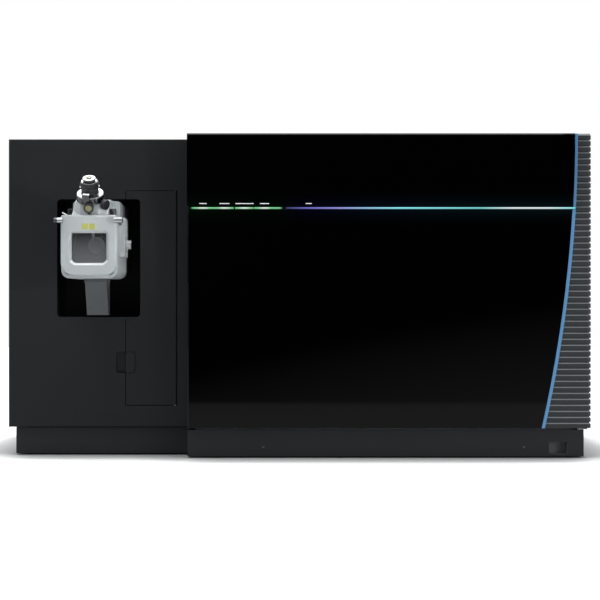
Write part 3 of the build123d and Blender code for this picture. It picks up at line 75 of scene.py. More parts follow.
def middle(node: str) -> Vector:
    """Centre of a CAD node's box."""
    return (low(node) + high(node)) / 2


def joint_frame(name: str) -> tuple[Vector, Vector]:
    """A joint's point and its axis.

    Args:
        name: The joint's name.

    Returns:
        The point on its axis (the origin for a slide) and the unit axis.
    """
    joint = next(j for j in frame["joints"] if j["name"] == name)
    return Vector(joint.get("pos_m", (0, 0, 0))), Vector(joint["axis"]).normalized()


def rise_along(node: str, seat: Vector, axis: Vector) -> float:
    """How far a CAD node reaches along an axis.

    Args:
        node: Node name.
        seat: A point on the axis.
        axis: The unit axis.

    Returns:
        The distance from that point to the node's farthest vertex, along the axis.
    """
    return max((vert.co - seat).dot(axis) for vert in frame["nodes"][node].data.vertices)


def within(point: Vector, lowest: Sequence[float], highest: Sequence[float]) -> bool:
    """Whether a point is inside a box."""
    return all(start < value < end for start, value, end in zip(lowest, point, highest))


# ---------------------------------------------------------------- materials
class Texture(Enum):
    """How a finish's surface is broken up."""

    POWDER = "fine orange-peel of powder coat"
    CAST = "sand-cast skin under paint"
    TURNED = "fine rings left by a lathe"
    BRUSHED = "long brush strokes"
    SMOOTH = "polish with faint waviness"
    RUBBER = "matt moulded skin"


GRAIN = {
    Texture.POWDER: (1500.0, 2.0),
    Texture.CAST: (700.0, 2.0),
    Texture.TURNED: (2600.0, 1.0),
    Texture.SMOOTH: (25.0, 2.0),
    Texture.RUBBER: (1100.0, 2.0),
}  # noise scale and detail of each texture but the brushed one
BRUSH_STRETCH = Vector((6, 900, 900))  # brush strokes run along X


def linear(value: float) -> float:
    """One screen-referred channel, 0 to 255, as linear light."""
    c = value / 255
    return c / 12.92 if c <= 0.04045 else ((c + 0.055) / 1.055) ** 2.4


def rgb(red: float, green: float, blue: float) -> Colour:
    """A screen-referred colour, 0 to 255 a channel, as linear light."""
    return linear(red), linear(green), linear(blue)


class Nodes:
    """Small helper that builds one material's node tree."""

    def __init__(self, name: str) -> None:
        """Makes an empty node material."""
        self.material = bpy.data.materials.new(name)
        self.material.use_nodes = True
        self.tree = self.material.node_tree
        self.tree.nodes.clear()
        self.output = self.add("ShaderNodeOutputMaterial")

    @classmethod
    def over(cls, tree: bpy.types.NodeTree) -> "Nodes":
        """The helper over a node tree that is already there."""
        nodes = cls.__new__(cls)
        nodes.tree = tree
        return nodes

    def add(self, kind: str, **settings: object) -> bpy.types.Node:
        """Adds a node and sets its plain attributes.

        Args:
            kind: The node's type name.
            settings: Attribute names with their values.

        Returns:
            The new node.
        """
        node = self.tree.nodes.new(kind)
        for key, value in settings.items():
            setattr(node, key, value)
        return node

    def link(self, start: Socket, end: Socket) -> None:
        """Joins an output to an input."""
        self.tree.links.new(start, end)

    def position(self, scale: Vector = Vector((1, 1, 1))) -> Socket:
        """Object coordinates through a mapping.

        Args:
            scale: Stretch along each axis.

        Returns:
            The mapped vector socket.
        """
        where = self.add("ShaderNodeTexCoord")
        mapping = self.add("ShaderNodeMapping")
        mapping.inputs["Scale"].default_value = scale
        self.link(where.outputs["Object"], mapping.inputs["Vector"])
        return mapping.outputs["Vector"]

    def noise(self, vector: Socket, scale: float, detail: float = 2.0) -> Socket:
        """A noise value on a vector."""
        node = self.add("ShaderNodeTexNoise")
        node.inputs["Scale"].default_value = scale
        node.inputs["Detail"].default_value = detail
        self.link(vector, node.inputs["Vector"])
        return node.outputs["Fac"]

    def ramp(self, value: Socket, stops: Stops) -> Socket:
        """A colour ramp on a value.

        Args:
            value: What drives the ramp.
            stops: Positions from 0 to 1 with their colours, in rising order.

        Returns:
            The ramp's colour socket.
        """
        node = self.add("ShaderNodeValToRGB")
        elements = node.color_ramp.elements
        while len(elements) < len(stops):
            elements.new(1.0)
        for element, (position, colour) in zip(elements, stops):
            element.position = position
            element.color = (*colour, 1.0)
        self.link(value, node.inputs["Fac"])
        return node.outputs["Color"]

    def span(self, value: Socket, start: Span, end: Span) -> Socket:
        """Maps one range of values onto another."""
        node = self.add("ShaderNodeMapRange")
        node.inputs["From Min"].default_value, node.inputs["From Max"].default_value = start
        node.inputs["To Min"].default_value, node.inputs["To Max"].default_value = end
        self.link(value, node.inputs["Value"])
        return node.outputs["Result"]

    def axis(self, name: str) -> Socket:
        """One Object coordinate, "X", "Y" or "Z"."""
        split = self.add("ShaderNodeSeparateXYZ")
        self.link(self.position(), split.inputs["Vector"])
        return split.outputs[name]

    def along_x(self, stops: Stops) -> Socket:
        """A colour that runs along X.

        Args:
            stops: X in metres with the colour there, in rising order.

        Returns:
            The colour socket.
        """
        first, last = stops[0][0], stops[-1][0]
        share = self.span(self.axis("X"), (first, last), (0.0, 1.0))
        return self.ramp(share, tuple(((x - first) / (last - first), colour) for x, colour in stops))

    def off_level(self, level: float) -> Socket:
        """How far a point is above or below a height."""
        off = self.add("ShaderNodeMath", operation="SUBTRACT")
        self.link(self.axis("Z"), off.inputs[0])
        off.inputs[1].default_value = level
        away = self.add("ShaderNodeMath", operation="ABSOLUTE")
        self.link(off.outputs["Value"], away.inputs[0])
        return away.outputs["Value"]


@dataclass(frozen=True)
class Finish:
    """One surface finish, from its colour down to its finest relief.

    Attributes:
        name: Material name.
        colour: Base colour in linear light.
        rough: Roughness where the surface is clean.
        metal: 1 for bare metal.
        texture: How the surface is broken up.
        relief: Height of the relief in metres.
        drift: Share by which the colour wanders over the surface.
        shine: Strength of the skin's own reflection, 0.5 for plain plastic or paint.
        edge: Radius in metres by which sharp edges look rounded.
    """

    name: str
    colour: Colour
    rough: float
    metal: float = 0.0
    texture: Texture = Texture.POWDER
    relief: float = 0.00004
    drift: float = 0.04
    shine: float = 0.5
    edge: float = 0.0006

    def grain(self, nodes: Nodes) -> Socket:
        """The height field of the texture.

        Args:
            nodes: The tree to add to.

        Returns:
            A height from 0 to 1.
        """
        if self.texture is Texture.BRUSHED:
            return nodes.noise(nodes.position(BRUSH_STRETCH), 1.0, 3.0)
        scale, detail = GRAIN[self.texture]
        return nodes.noise(nodes.position(), scale, detail)

    def shader(self, nodes: Nodes) -> bpy.types.Node:
        """The principled shader with this finish's colour, gloss and relief."""
        shader = nodes.add("ShaderNodeBsdfPrincipled")
        cloud = nodes.noise(nodes.position(), CLOUD_SCALE, 3.0)
        dark = tuple(c * (1 - self.drift) for c in self.colour)
        light = tuple(c * (1 + self.drift) for c in self.colour)
        nodes.link(nodes.ramp(cloud, ((0.35, dark), (0.65, light))), shader.inputs["Base Color"])
        smear = nodes.noise(nodes.position(), SMEAR_SCALE, 4.0)
        worn = self.rough * (1 - self.drift), min(self.rough * (1 + self.drift), 1.0)
        nodes.link(nodes.span(smear, (0.3, 0.7), worn), shader.inputs["Roughness"])
        shader.inputs["Metallic"].default_value = self.metal
        shader.inputs["Specular IOR Level"].default_value = self.shine
        bevel = nodes.add("ShaderNodeBevel", samples=4)
        bevel.inputs["Radius"].default_value = self.edge
        bump = nodes.add("ShaderNodeBump")
        bump.inputs["Strength"].default_value = 0.5
        bump.inputs["Distance"].default_value = self.relief
        nodes.link(self.grain(nodes), bump.inputs["Height"])
        nodes.link(bevel.outputs["Normal"], bump.inputs["Normal"])
        nodes.link(bump.outputs["Normal"], shader.inputs["Normal"])
        return shader

    def material(self) -> bpy.types.Material:
        """Builds the node material."""
        nodes = Nodes(self.name)
        nodes.link(self.shader(nodes).outputs["BSDF"], nodes.output.inputs["Surface"])
        return nodes.material


@dataclass(frozen=True)
class Glow:
    """A light guide whose colour runs along X.

    Attributes:
        name: Material name.
        stops: X in metres with the colour there, in rising order.
        strength: Emission strength.
        level: Height of the guide's middle.
        reach: Half the guide's height.
        rim: Share of the strength that is left at the guide's edge.
    """

    name: str
    stops: Stops
    strength: float
    level: float
    reach: float
    rim: float = 0.3

    def material(self) -> bpy.types.Material:
        """Builds the glowing material."""
        nodes = Nodes(self.name)
        shader = nodes.add("ShaderNodeBsdfPrincipled")
        nodes.link(nodes.along_x(self.stops), shader.inputs["Emission Color"])
        edge = self.reach * 0.5, self.reach
        fade = nodes.span(nodes.off_level(self.level), edge, (self.strength, self.strength * self.rim))
        nodes.link(fade, shader.inputs["Emission Strength"])
        shader.inputs["Base Color"].default_value = (0.02, 0.03, 0.035, 1)
        shader.inputs["Roughness"].default_value = 0.25
        nodes.link(shader.outputs["BSDF"], nodes.output.inputs["Surface"])
        return nodes.material


@dataclass(frozen=True)
class Sight:
    """Tinted glass that shows what is behind it.

    Attributes:
        name: Material name.
        tint: Colour of what passes through.
        haze_and_painted_light: Share of the surface that reflects as a pale film, at its foot and at its top;
            a larger share at the foot is painted light that makes the glass paler there.
        reach: Height of the foot and of the top.
    """

    name: str
    tint: Colour
    haze_and_painted_light: Span
    reach: Span

    def material(self) -> bpy.types.Material:
        """Builds the glass."""
        nodes = Nodes(self.name)
        clear = nodes.add("ShaderNodeBsdfTransparent")
        clear.inputs["Color"].default_value = (*self.tint, 1)
        skin = nodes.add("ShaderNodeBsdfPrincipled")
        skin.inputs["Base Color"].default_value = (0.2, 0.21, 0.22, 1)
        smudge = nodes.noise(nodes.position(), 60.0, 3.0)
        nodes.link(nodes.span(smudge, (0.3, 0.7), (0.04, 0.12)), skin.inputs["Roughness"])
        mix = nodes.add("ShaderNodeMixShader")
        # painted light: the pale share follows the height, so a pane can be paler towards its foot
        nodes.link(nodes.span(nodes.axis("Z"), self.reach, self.haze_and_painted_light), mix.inputs["Fac"])
        nodes.link(clear.outputs["BSDF"], mix.inputs[1])
        nodes.link(skin.outputs["BSDF"], mix.inputs[2])
        nodes.link(mix.outputs["Shader"], nodes.output.inputs["Surface"])
        return nodes.material


class Finishes(Enum):
    """Every plain finish on the instrument."""

    CHARCOAL = Finish("charcoal_powder", rgb(25, 27, 29), 0.5, shine=0.17, edge=0.002)
    PLINTH = Finish("plinth_powder", rgb(33, 35, 37), 0.6, shine=0.2, edge=0.0008)
    ALCOVE = Finish("alcove_black", rgb(7, 8, 8), 0.6, shine=0.12)
    GLOSS = Finish("gloss_black", rgb(1, 1, 1.5), 0.04, 0.0, Texture.SMOOTH, 0.000001, 0.05, 0.1, 0.0004)
    RIBS = Finish("rib_grey", rgb(39, 42, 44), 0.45, 0.0, Texture.POWDER, 0.00002, 0.03, 0.25)
    # painted highlight: light grey on the up-facing slopes of the ribs, where light would catch them
    RIB_HIGHLIGHT = Finish("rib_painted_highlight", rgb(136, 140, 143), 0.4, 0.0, Texture.POWDER, 0.00001, 0.04, 0.4)
    SIDES = Finish("side_grey", rgb(44, 47, 49), 0.5, shine=0.25)
    TRIM = Finish("trim_blue", rgb(86, 136, 181), 0.32, 0.2, Texture.BRUSHED, 0.00001, 0.05)
    CASTING = Finish("casting_light", rgb(157, 162, 164), 0.4, 0.0, Texture.CAST, 0.00006, 0.03, 0.45, 0.0012)
    # painted highlight with some real shine: a bright, slightly metallic colour for the up-facing lower bevel
    # under the window
    BEVEL_HIGHLIGHT = Finish("bevel_bright", rgb(222, 226, 228), 0.3, 0.3, Texture.SMOOTH, 0.000004, 0.03)
    CASTING_DARK = Finish("casting_mid", rgb(70, 73, 75), 0.5, 0.0, Texture.CAST, 0.00006, 0.06, 0.3, 0.001)
    CHROME = Finish("chrome_polish", (0.33, 0.34, 0.35), 0.14, 1.0, Texture.SMOOTH, 0.000002, 0.02)
    # dark nickel; on the sides of the probe's polished bands and ring it is painted shade
    NICKEL_AND_SHADE = Finish("nickel_dark_and_painted_shade", (0.07, 0.072, 0.075), 0.24, 1.0, Texture.TURNED, 0.000006, 0.05)
    # painted light: a grey far lighter than the plinth inside its deep finger pocket, so the pocket does not
    # read as shaded
    POCKET_LIGHT = Finish("pocket_painted_light", rgb(92, 95, 97), 0.5, shine=0.3)
    SATIN = Finish("steel_satin", (0.9, 0.9, 0.89), 0.45, 0.0, Texture.TURNED, 0.000008, 0.04)
    STEEL = Finish("steel_turned", (0.5, 0.5, 0.5), 0.28, 1.0, Texture.TURNED, 0.00001, 0.06)
    BLACK = Finish("moulded_black", rgb(20, 21, 22), 0.38, 0.0, Texture.RUBBER, 0.00002, shine=0.3)
    KNOB = Finish("knob_black", rgb(26, 28, 29), 0.3, 0.0, Texture.RUBBER, 0.00002, shine=0.4)
    RUBBER = Finish("foot_rubber", rgb(20, 20, 21), 0.8, 0.0, Texture.RUBBER, 0.00006, shine=0.2)
    ALLOY = Finish("machined_alloy", (0.55, 0.56, 0.57), 0.34, 1.0, Texture.BRUSHED, 0.00001)
    PUMP = Finish("pump_grey", rgb(150, 153, 155), 0.45)
    PRIMER = Finish("frame_primer", rgb(120, 124, 126), 0.55)
    LABEL = Finish("label_yellow", rgb(158, 161, 82), 0.5, 0.0, Texture.RUBBER, 0.000004, 0.05, 0.3)
    MARK = Finish("mark_white", rgb(225, 228, 230), 0.5, 0.0, Texture.RUBBER, 0.000003, 0.03)
    WHITE = Finish("tab_white", rgb(222, 224, 224), 0.4, 0.0, Texture.POWDER, 0.00002, 0.03)
    DIAL_FACE = Finish("dial_face", rgb(112, 114, 78), 0.35, 0.0, Texture.SMOOTH, 0.000004, 0.1)
    CAP_EYE = Finish("cap_eye", rgb(160, 168, 120), 0.3, 0.0, Texture.SMOOTH, 0.000004, 0.2)


# ---------------------------------------------------------------- mesh helpers
def shape(name: str, body: str, mesh: bmesh.types.BMesh, finish: Finishes) -> bpy.types.Object:
    """Turns a bmesh into a finished piece that rides on a body.

    Args:
        name: Piece name.
        body: Body that carries it.
        mesh: The shape, in its final place.
        finish: Its finish.

    Returns:
        The piece.
    """
    bmesh.ops.recalc_face_normals(mesh, faces=mesh.faces)
    data = bpy.data.meshes.new(name)
    mesh.to_mesh(data)
    mesh.free()
    data.materials.append(finish.value.material())
    piece = bpy.data.objects.new(name, data)
    bpy.context.scene.collection.objects.link(piece)
    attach(piece, body)
    log.info("%s rides on %s", name, body)
    return piece


def smooth(piece: bpy.types.Object, angle: float = 35.0) -> bpy.types.Object:
    """Shades a piece smooth up to an angle in degrees."""
    data = piece.data
    data.shade_smooth()
    mesh = bmesh.new()
    mesh.from_mesh(data)
    for edge in mesh.edges:
        edge.smooth = len(edge.link_faces) == 2 and edge.calc_face_angle(0) < math.radians(angle)
    mesh.to_mesh(data)
    mesh.free()
    return piece


def slab(
    mesh: bmesh.types.BMesh, centre: Vector, size: Vector, bevel: float, turn: Matrix | None = None
) -> None:
    """Adds a box with rounded edges to a bmesh.

    Args:
        mesh: The bmesh to add to.
        centre: Box centre.
        size: Box size.
        bevel: Edge radius.
        turn: Rotation about the centre.
    """
    made = bmesh.ops.create_cube(mesh, size=1.0)["verts"]
    bmesh.ops.scale(mesh, vec=size, verts=made)
    edges = list({edge for vert in made for edge in vert.link_edges})
    rounded = bmesh.ops.bevel(
        mesh, geom=edges, offset=bevel, segments=2, profile=0.5, affect="EDGES", material=-1
    )
    kept = {vert for vert in made if vert.is_valid}
    made = list({vert for face in rounded["faces"] for vert in face.verts} | kept)
    if turn is not None:
        bmesh.ops.transform(mesh, matrix=turn.to_4x4(), verts=made)
    bmesh.ops.translate(mesh, vec=centre, verts=made)


def lathe(mesh: bmesh.types.BMesh, profile: Profile, base: Vector, axis: Vector, steps: int) -> None:
    """Adds a turned form to a bmesh.

    Args:
        mesh: The bmesh to add to.
        profile: Radius and height pairs along the axis, from foot to top.
        base: Foot of the axis.
        axis: Direction of the axis.
        steps: Segments round the axis.
    """
    before = set(mesh.verts)
    line = [mesh.verts.new((radius, 0, height)) for radius, height in profile]
    edges = [mesh.edges.new(pair) for pair in zip(line, line[1:])]
    turned = {"cent": (0, 0, 0), "axis": (0, 0, 1), "angle": 2 * math.pi, "use_merge": True}
    bmesh.ops.spin(mesh, geom=line + edges, steps=steps, **turned)
    bmesh.ops.remove_doubles(mesh, verts=[v for v in mesh.verts if v not in before], dist=1e-6)
    made = [v for v in mesh.verts if v not in before]
    turn = Vector((0, 0, 1)).rotation_difference(axis.normalized()).to_matrix().to_4x4()
    bmesh.ops.transform(mesh, matrix=Matrix.Translation(base) @ turn, verts=made)


# ---------------------------------------------------------------- cabinet
@dataclass
class Dressing:
    """Finishes of the CAD nodes.

    Attributes:
        plain: Finish of each group of nodes.
    """

    plain: dict[Finishes, tuple[str, ...]]

    def build(self) -> None:
        """Gives each node its material."""
        for finish, names in self.plain.items():
            material = finish.value.material()
            for name in names:
                self.dress(name, material)

    @staticmethod
    def dress(name: str, material: bpy.types.Material) -> None:
        """Gives one CAD node a material.

        Args:
            name: Node name.
            material: The material for all of it.
        """
        node = frame["nodes"][name]
        node.data.materials.clear()
        node.data.materials.append(material)
        log.info("%s wears %s", name, material.name)


def dress_faces(name: str, finish: Finishes, chosen: Callable[[Vector, Vector], bool]) -> None:
    """Gives some faces of a dressed CAD node a second finish.

    Args:
        name: Node name.
        finish: The second finish.
        chosen: Whether a face, by its centre and its normal, takes it.
    """
    data = frame["nodes"][name].data
    data.materials.append(finish.value.material())
    for face in data.polygons:
        if chosen(face.center, face.normal):
            face.material_index = 1
    log.info("%s wears %s on some faces", name, finish.value.name)


def node_dressing() -> Dressing:
    """The finish of every CAD node that isn't glass or a light."""
    return Dressing(
        {
            Finishes.CHARCOAL: (
                "left_front_panel",
                "left_side_panel",
                "left_top_panel",
                "access_door",
                "cheek_panel",
            ),
            Finishes.PLINTH: ("left_plinth", "right_plinth", "base_tray"),
            Finishes.ALCOVE: ("alcove_liner", "fluidics_bay"),
            Finishes.GLOSS: ("lower_fascia", "visor"),
            Finishes.RIBS: ("ribbed_corner",),
            Finishes.SIDES: ("right_side_panel", "right_top_panel", "rear_panels"),
            Finishes.TRIM: ("curved_trim",),
            Finishes.CASTING: ("source_housing", "source_cover"),
            Finishes.CASTING_DARK: ("source_mount", "drain_duct"),
            Finishes.CHROME: ("lock_lever_left", "lock_lever_right", "lock_ring", "probe_bands"),
            Finishes.NICKEL_AND_SHADE: ("side_dial",),
            Finishes.SATIN: ("sweep_cone", "probe_tube"),
            Finishes.STEEL: (
                "door_hinge_pins",
                "pump_screw",
                "pump_pusher",
                "divert_valve",
                "foreline_stubs",
                "ion_guide",
                "analyser_cells",
                "needle_knob",
            ),
            Finishes.BLACK: (
                "probe_grip",
                "window_retainer",
                "fan_frames",
                "power_entry",
                "fan_rotor_left",
                "fan_rotor_right",
                "main_switch",
            ),
            Finishes.KNOB: ("probe_collar", "depth_dial", "thumb_screws"),
            Finishes.RUBBER: ("levelling_feet",),
            Finishes.ALLOY: (
                "vacuum_manifold",
                "manifold_lid",
                "turbo_bodies",
                "turbo_rotor_left",
                "turbo_rotor_right",
            ),
            Finishes.PUMP: ("syringe_pump", "electronics"),
            Finishes.PRIMER: ("cabinet_frame", "manifold_stand"),
        }
    )


@dataclass
class LightLine:
    """The glowing line under the visor and the small marks above it.

    Attributes:
        status_ends: Left and right end of the four status lights together, in metres.
        green: Their colour.
        pale: Colour of the bright middle of each.
        dark: Colour at their ends.
        hot: Half the width of that bright middle.
        flank: Where the light is plain green again, from that middle's centre.
        fade: Length of the dark ends.
        scan: X in metres with the colour of the long light: night, violet, lilac, cyan, teal, white, cyan.
        marks: Left and right end of each mark above the lights, in metres.
        mark_rise: Height of the marks' middle above the visor's foot.
        mark_height: Height of each mark.
        strength: Emission strength of both lights.
        spill: X in metres with the colour of the painted glow in the gloss beside the lights, which stands in
            for their spill.
        spill_reach: How far that painted glow reaches.
    """

    status_ends: tuple[float, float] = (-0.272, -0.036)
    green: Colour = rgb(115, 200, 135)
    pale: Colour = rgb(215, 228, 215)
    dark: Colour = rgb(14, 30, 18)
    hot: float = 0.004
    flank: float = 0.0165
    fade: float = 0.01
    scan: Stops = (
        (-0.036, rgb(8, 10, 30)),
        (0.03, rgb(100, 95, 185)),
        (0.11, rgb(145, 140, 215)),
        (0.26, rgb(135, 230, 236)),
        (0.47, rgb(110, 200, 198)),
        (0.55, rgb(220, 230, 232)),
        (0.64, rgb(220, 230, 232)),
        (0.705, rgb(120, 225, 228)),
    )
    marks: tuple[Span, ...] = (
        (-0.2484, -0.2294),
        (-0.197, -0.1716),
        (-0.1567, -0.1106),
        (-0.0939, -0.0711),
        (0.0217, 0.0374),
    )
    mark_rise: float = 0.009
    mark_height: float = 0.0022
    strength: float = 1.12
    spill: Stops = (
        (-0.28, (0.0004, 0.0035, 0.0008)),
        (-0.05, (0.0003, 0.0022, 0.0008)),
        (0.02, (0.0008, 0.0008, 0.006)),
        (0.2, (0.0008, 0.003, 0.007)),
        (0.45, (0.0008, 0.0048, 0.006)),
        (0.7, (0.002, 0.0048, 0.006)),
    )
    spill_reach: float = 0.05

    def status(self) -> Stops:
        """X with the colour of the status lights: green, and pale under the middle of each one's mark."""
        left, right = self.status_ends
        stops = [(left, self.dark), (left + self.fade, self.green)]
        for start, end in self.marks[:-1]:
            centre = (start + end) / 2
            stops.append((centre - self.flank, self.green))
            stops.append((centre - self.hot, self.pale))
            stops.append((centre + self.hot, self.pale))
            stops.append((centre + self.flank, self.green))
        return (*stops, (right - self.fade, self.green), (right, self.dark))

    def build(self) -> None:
        """Lights the guides and sets the marks above them."""
        level, reach = middle("scan_light").z, (high("scan_light") - low("scan_light")).z / 2
        for node, stops in (("status_lights", self.status()), ("scan_light", self.scan)):
            Dressing.dress(node, Glow(node + "_glow", stops, self.strength, level, reach).material())
        # painted glow in the gloss beside the light line
        self.paint_spill_glow(frame["nodes"]["visor"].data.materials[0], level)
        face = low("visor").y
        level = low("visor").z + self.mark_rise
        mesh = bmesh.new()
        for start, end in self.marks:
            centre = Vector(((start + end) / 2, face - FILM_EDGE, level))
            slab(mesh, centre, Vector((end - start, FILM, self.mark_height)), FILM_EDGE)
        shape("light_marks", "cabinet", mesh, Finishes.MARK)

    def paint_spill_glow(self, gloss: bpy.types.Material, level: float) -> None:
        """Paints a faint glow into the gloss above and below the light line, as emission of the gloss itself.

        Args:
            gloss: The gloss material.
            level: Height of the light line.
        """
        # painted glow: the gloss emits near the light line, fading with distance from it
        nodes = Nodes.over(gloss.node_tree)
        shader = next(node for node in nodes.tree.nodes if node.type == "BSDF_PRINCIPLED")
        near = nodes.span(nodes.off_level(level), (0.0, self.spill_reach), (1.0, 0.0))
        softer = nodes.add("ShaderNodeMath", operation="POWER")
        nodes.link(near, softer.inputs[0])
        softer.inputs[1].default_value = 2.0
        nodes.link(softer.outputs["Value"], shader.inputs["Emission Strength"])
        nodes.link(nodes.along_x(self.spill), shader.inputs["Emission Color"])


@dataclass
class PlinthScrews:
    """Countersunk screws in the right plinth.

    Attributes:
        places: X of each screw, in metres.
        level: Height of the screws.
        radius: Head radius.
        head: Outline of a head from its socket's floor to its rim, as shares of the radius and heights.
    """

    places: tuple[float, ...] = (-0.087, 0.580)
    level: float = 0.028
    radius: float = 0.0042
    head: Profile = ((0.0, 0.0002), (0.45, 0.0002), (0.5, 0.0012), (0.85, 0.0012), (1.0, 0.0004), (1.0, 0.0))

    def build(self) -> None:
        """Makes the screw heads with their round sockets."""
        face = low("right_plinth").y
        mesh = bmesh.new()
        profile = [(self.radius * share, height) for share, height in self.head]
        for x in self.places:
            lathe(mesh, profile, Vector((x, face, self.level)), Vector((0, -1, 0)), 24)
        smooth(shape("plinth_screws", "cabinet", mesh, Finishes.NICKEL_AND_SHADE))


# ---------------------------------------------------------------- ion source
@dataclass
class SourceTrim:
    """Small pieces on the ion source that are too thin for the frame.

    Attributes:
        label_size: Side of the plain labels over the window.
        label_level: Height of the labels' centre.
        label_offsets: The labels' centres from the source's centre line.
        tab_place: Centre of the cover's tab from the cover's left end, its front and its top.
        tab_size: Size of that tab.
        tab_lean: Its lean in degrees.
        shaded_side_lean: Cosine to the probe's axis below which a polished face takes dark nickel as painted
            shade.
        sleeve: Length of the dark end of each side lever.
        dial_rise: Foot of the front dial's face along the dial's axis.
        dial_face: Radius and height pairs of that face.
        pointer_rise: Place of the pointer along the dial's axis.
        pointer_drop: Place of the pointer's foot below the axis.
        pointer: Radius and height pairs of the pointer, from foot to tip.
        cap_seat: Depth to which the cap's eye and ring are let in.
        cap_eye: Radius and height pairs of the eye in the probe's cap.
        cap_ring: Radius and height pairs of the ring round it.
        pad_size: Size of the pad on the finger lever, across, along and up.
        pad_place: Centre of the pad, out from the probe's axis and up from the ring.
        pad_turn: Turn in degrees of the lever from straight ahead.
    """

    label_size: float = 0.0148
    label_level: float = 0.586
    label_offsets: Span = (-0.0092, 0.0079)
    tab_place: tuple[float, float, float] = (0.0093, 0.007, 0.0028)
    tab_size: tuple[float, float, float] = (0.014, 0.005, 0.003)
    tab_lean: float = 28.0
    shaded_side_lean: float = 0.35
    sleeve: float = 0.007
    dial_rise: float = 0.0082
    dial_face: Profile = ((0.0, 0.0016), (0.006, 0.0014), (0.0093, 0.0006), (0.0097, 0.0))
    pointer_rise: float = 0.003
    pointer_drop: float = 0.0122
    pointer: Profile = ((0.0032, 0.0), (0.0032, 0.0045), (0.0, 0.0095))
    cap_seat: float = 0.0008
    cap_eye: Profile = ((0.0, 0.0021), (0.0026, 0.0019), (0.0042, 0.0014), (0.0043, 0.0))
    cap_ring: Profile = ((0.0044, 0.0), (0.0044, 0.0019), (0.0068, 0.0019), (0.0072, 0.0))
    pad_size: tuple[float, float, float] = (0.0165, 0.0062, 0.0024)
    pad_place: Span = (0.0367, 0.0006)
    pad_turn: float = -8.0

    def build(self) -> None:
        """Sets the second finishes and builds the labels, the tab, the dial, the cap and the pad."""
        self.metalwork()
        self.labels()
        self.tab()
        self.dial()
        self.cap()
        self.lever_pad()

    def metalwork(self) -> None:
        """Painted shade as dark nickel on the sides of the polished bands and ring, dark nickel on the side
        levers' ends, a painted highlight on the sill under the window and a black cap on the side dial.
        """
        lean = joint_frame("probe_lift")[1]
        # painted shade: dark nickel on the sides of the polished bands and ring, away from the light overhead
        for name in ("probe_bands", "lock_ring"):
            dress_faces(name, Finishes.NICKEL_AND_SHADE, lambda centre, normal: normal.dot(lean) < self.shaded_side_lean)
        # painted highlight on the up-facing lower bevel under the window
        dress_faces("source_cover", Finishes.BEVEL_HIGHLIGHT, in_highlit_window_bevel)
        for name in ("lock_lever_left", "lock_lever_right"):
            outer = high(name).x if name.endswith("right") else low(name).x
            dress_faces(name, Finishes.NICKEL_AND_SHADE, lambda centre, normal: abs(centre.x - outer) < self.sleeve)
        out = joint_frame("side_dial_turn")[1]
        dress_faces("side_dial", Finishes.KNOB, lambda centre, normal: normal.dot(out) > 0.6)

    def labels(self) -> None:
        """Plain yellow labels on the cover."""
        cover_low, cover_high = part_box("source_cover")
        x = (cover_low.x + cover_high.x) / 2
        mesh = bmesh.new()
        for offset in self.label_offsets:
            centre = Vector((x + offset, cover_low.y - FILM_EDGE, self.label_level))
            slab(mesh, centre, Vector((self.label_size, FILM, self.label_size)), FILM_EDGE)
        shape("cover_labels", "ion_source", mesh, Finishes.LABEL)

    def tab(self) -> None:
        """Thin upright tab on the cover's top edge."""
        cover_low, cover_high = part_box("source_cover")
        corner = Vector((cover_low.x, cover_low.y, cover_high.z))
        turn = Matrix.Rotation(math.radians(self.tab_lean), 3, "Y")
        mesh = bmesh.new()
        slab(mesh, corner + Vector(self.tab_place), Vector(self.tab_size), 0.0008, turn)
        shape("cover_tab", "ion_source", mesh, Finishes.WHITE)

    def dial(self) -> None:
        """Face and pointer of the front dial."""
        point, axis = joint_frame("depth_dial_turn")
        mesh = bmesh.new()
        lathe(mesh, self.dial_face, point + axis * self.dial_rise, axis, 40)
        smooth(shape("depth_dial_face", "depth_dial", mesh, Finishes.DIAL_FACE))
        down = axis.cross(Vector((1, 0, 0))).normalized()
        if down.z > 0:
            down = -down
        mesh = bmesh.new()
        foot = point + axis * self.pointer_rise + down * self.pointer_drop
        lathe(mesh, self.pointer, foot, down, 20)
        smooth(shape("depth_dial_pointer", "ion_source", mesh, Finishes.BLACK))

    def cap(self) -> None:
        """Small pale eye in the probe's cap, and the black ring round it."""
        seat = joint_frame("ring_turn")[0]
        axis = joint_frame("probe_lift")[1]
        place = seat + axis * (rise_along("probe_bands", seat, axis) - self.cap_seat)
        mesh = bmesh.new()
        lathe(mesh, self.cap_eye, place, axis, 32)
        smooth(shape("probe_cap_eye", "probe", mesh, Finishes.CAP_EYE))
        mesh = bmesh.new()
        lathe(mesh, self.cap_ring, place, axis, 40)
        smooth(shape("probe_cap_ring", "probe", mesh, Finishes.BLACK))

    def lever_pad(self) -> None:
        """Bright pad on the end of the locking ring's finger lever."""
        seat, axis = joint_frame("ring_turn")
        ahead = Vector((0, -1, 0))
        front = (ahead - axis * ahead.dot(axis)).normalized()
        out = Matrix.Rotation(math.radians(self.pad_turn), 3, axis) @ front
        turn = Matrix((out.cross(axis), out, axis)).transposed()
        reach, lift = self.pad_place
        centre = seat + axis * (rise_along("lock_ring", seat, axis) + lift) + out * reach
        mesh = bmesh.new()
        slab(mesh, centre, Vector(self.pad_size), 0.001, turn)
        shape("ring_lever_pad", "lock_ring", mesh, Finishes.WHITE)


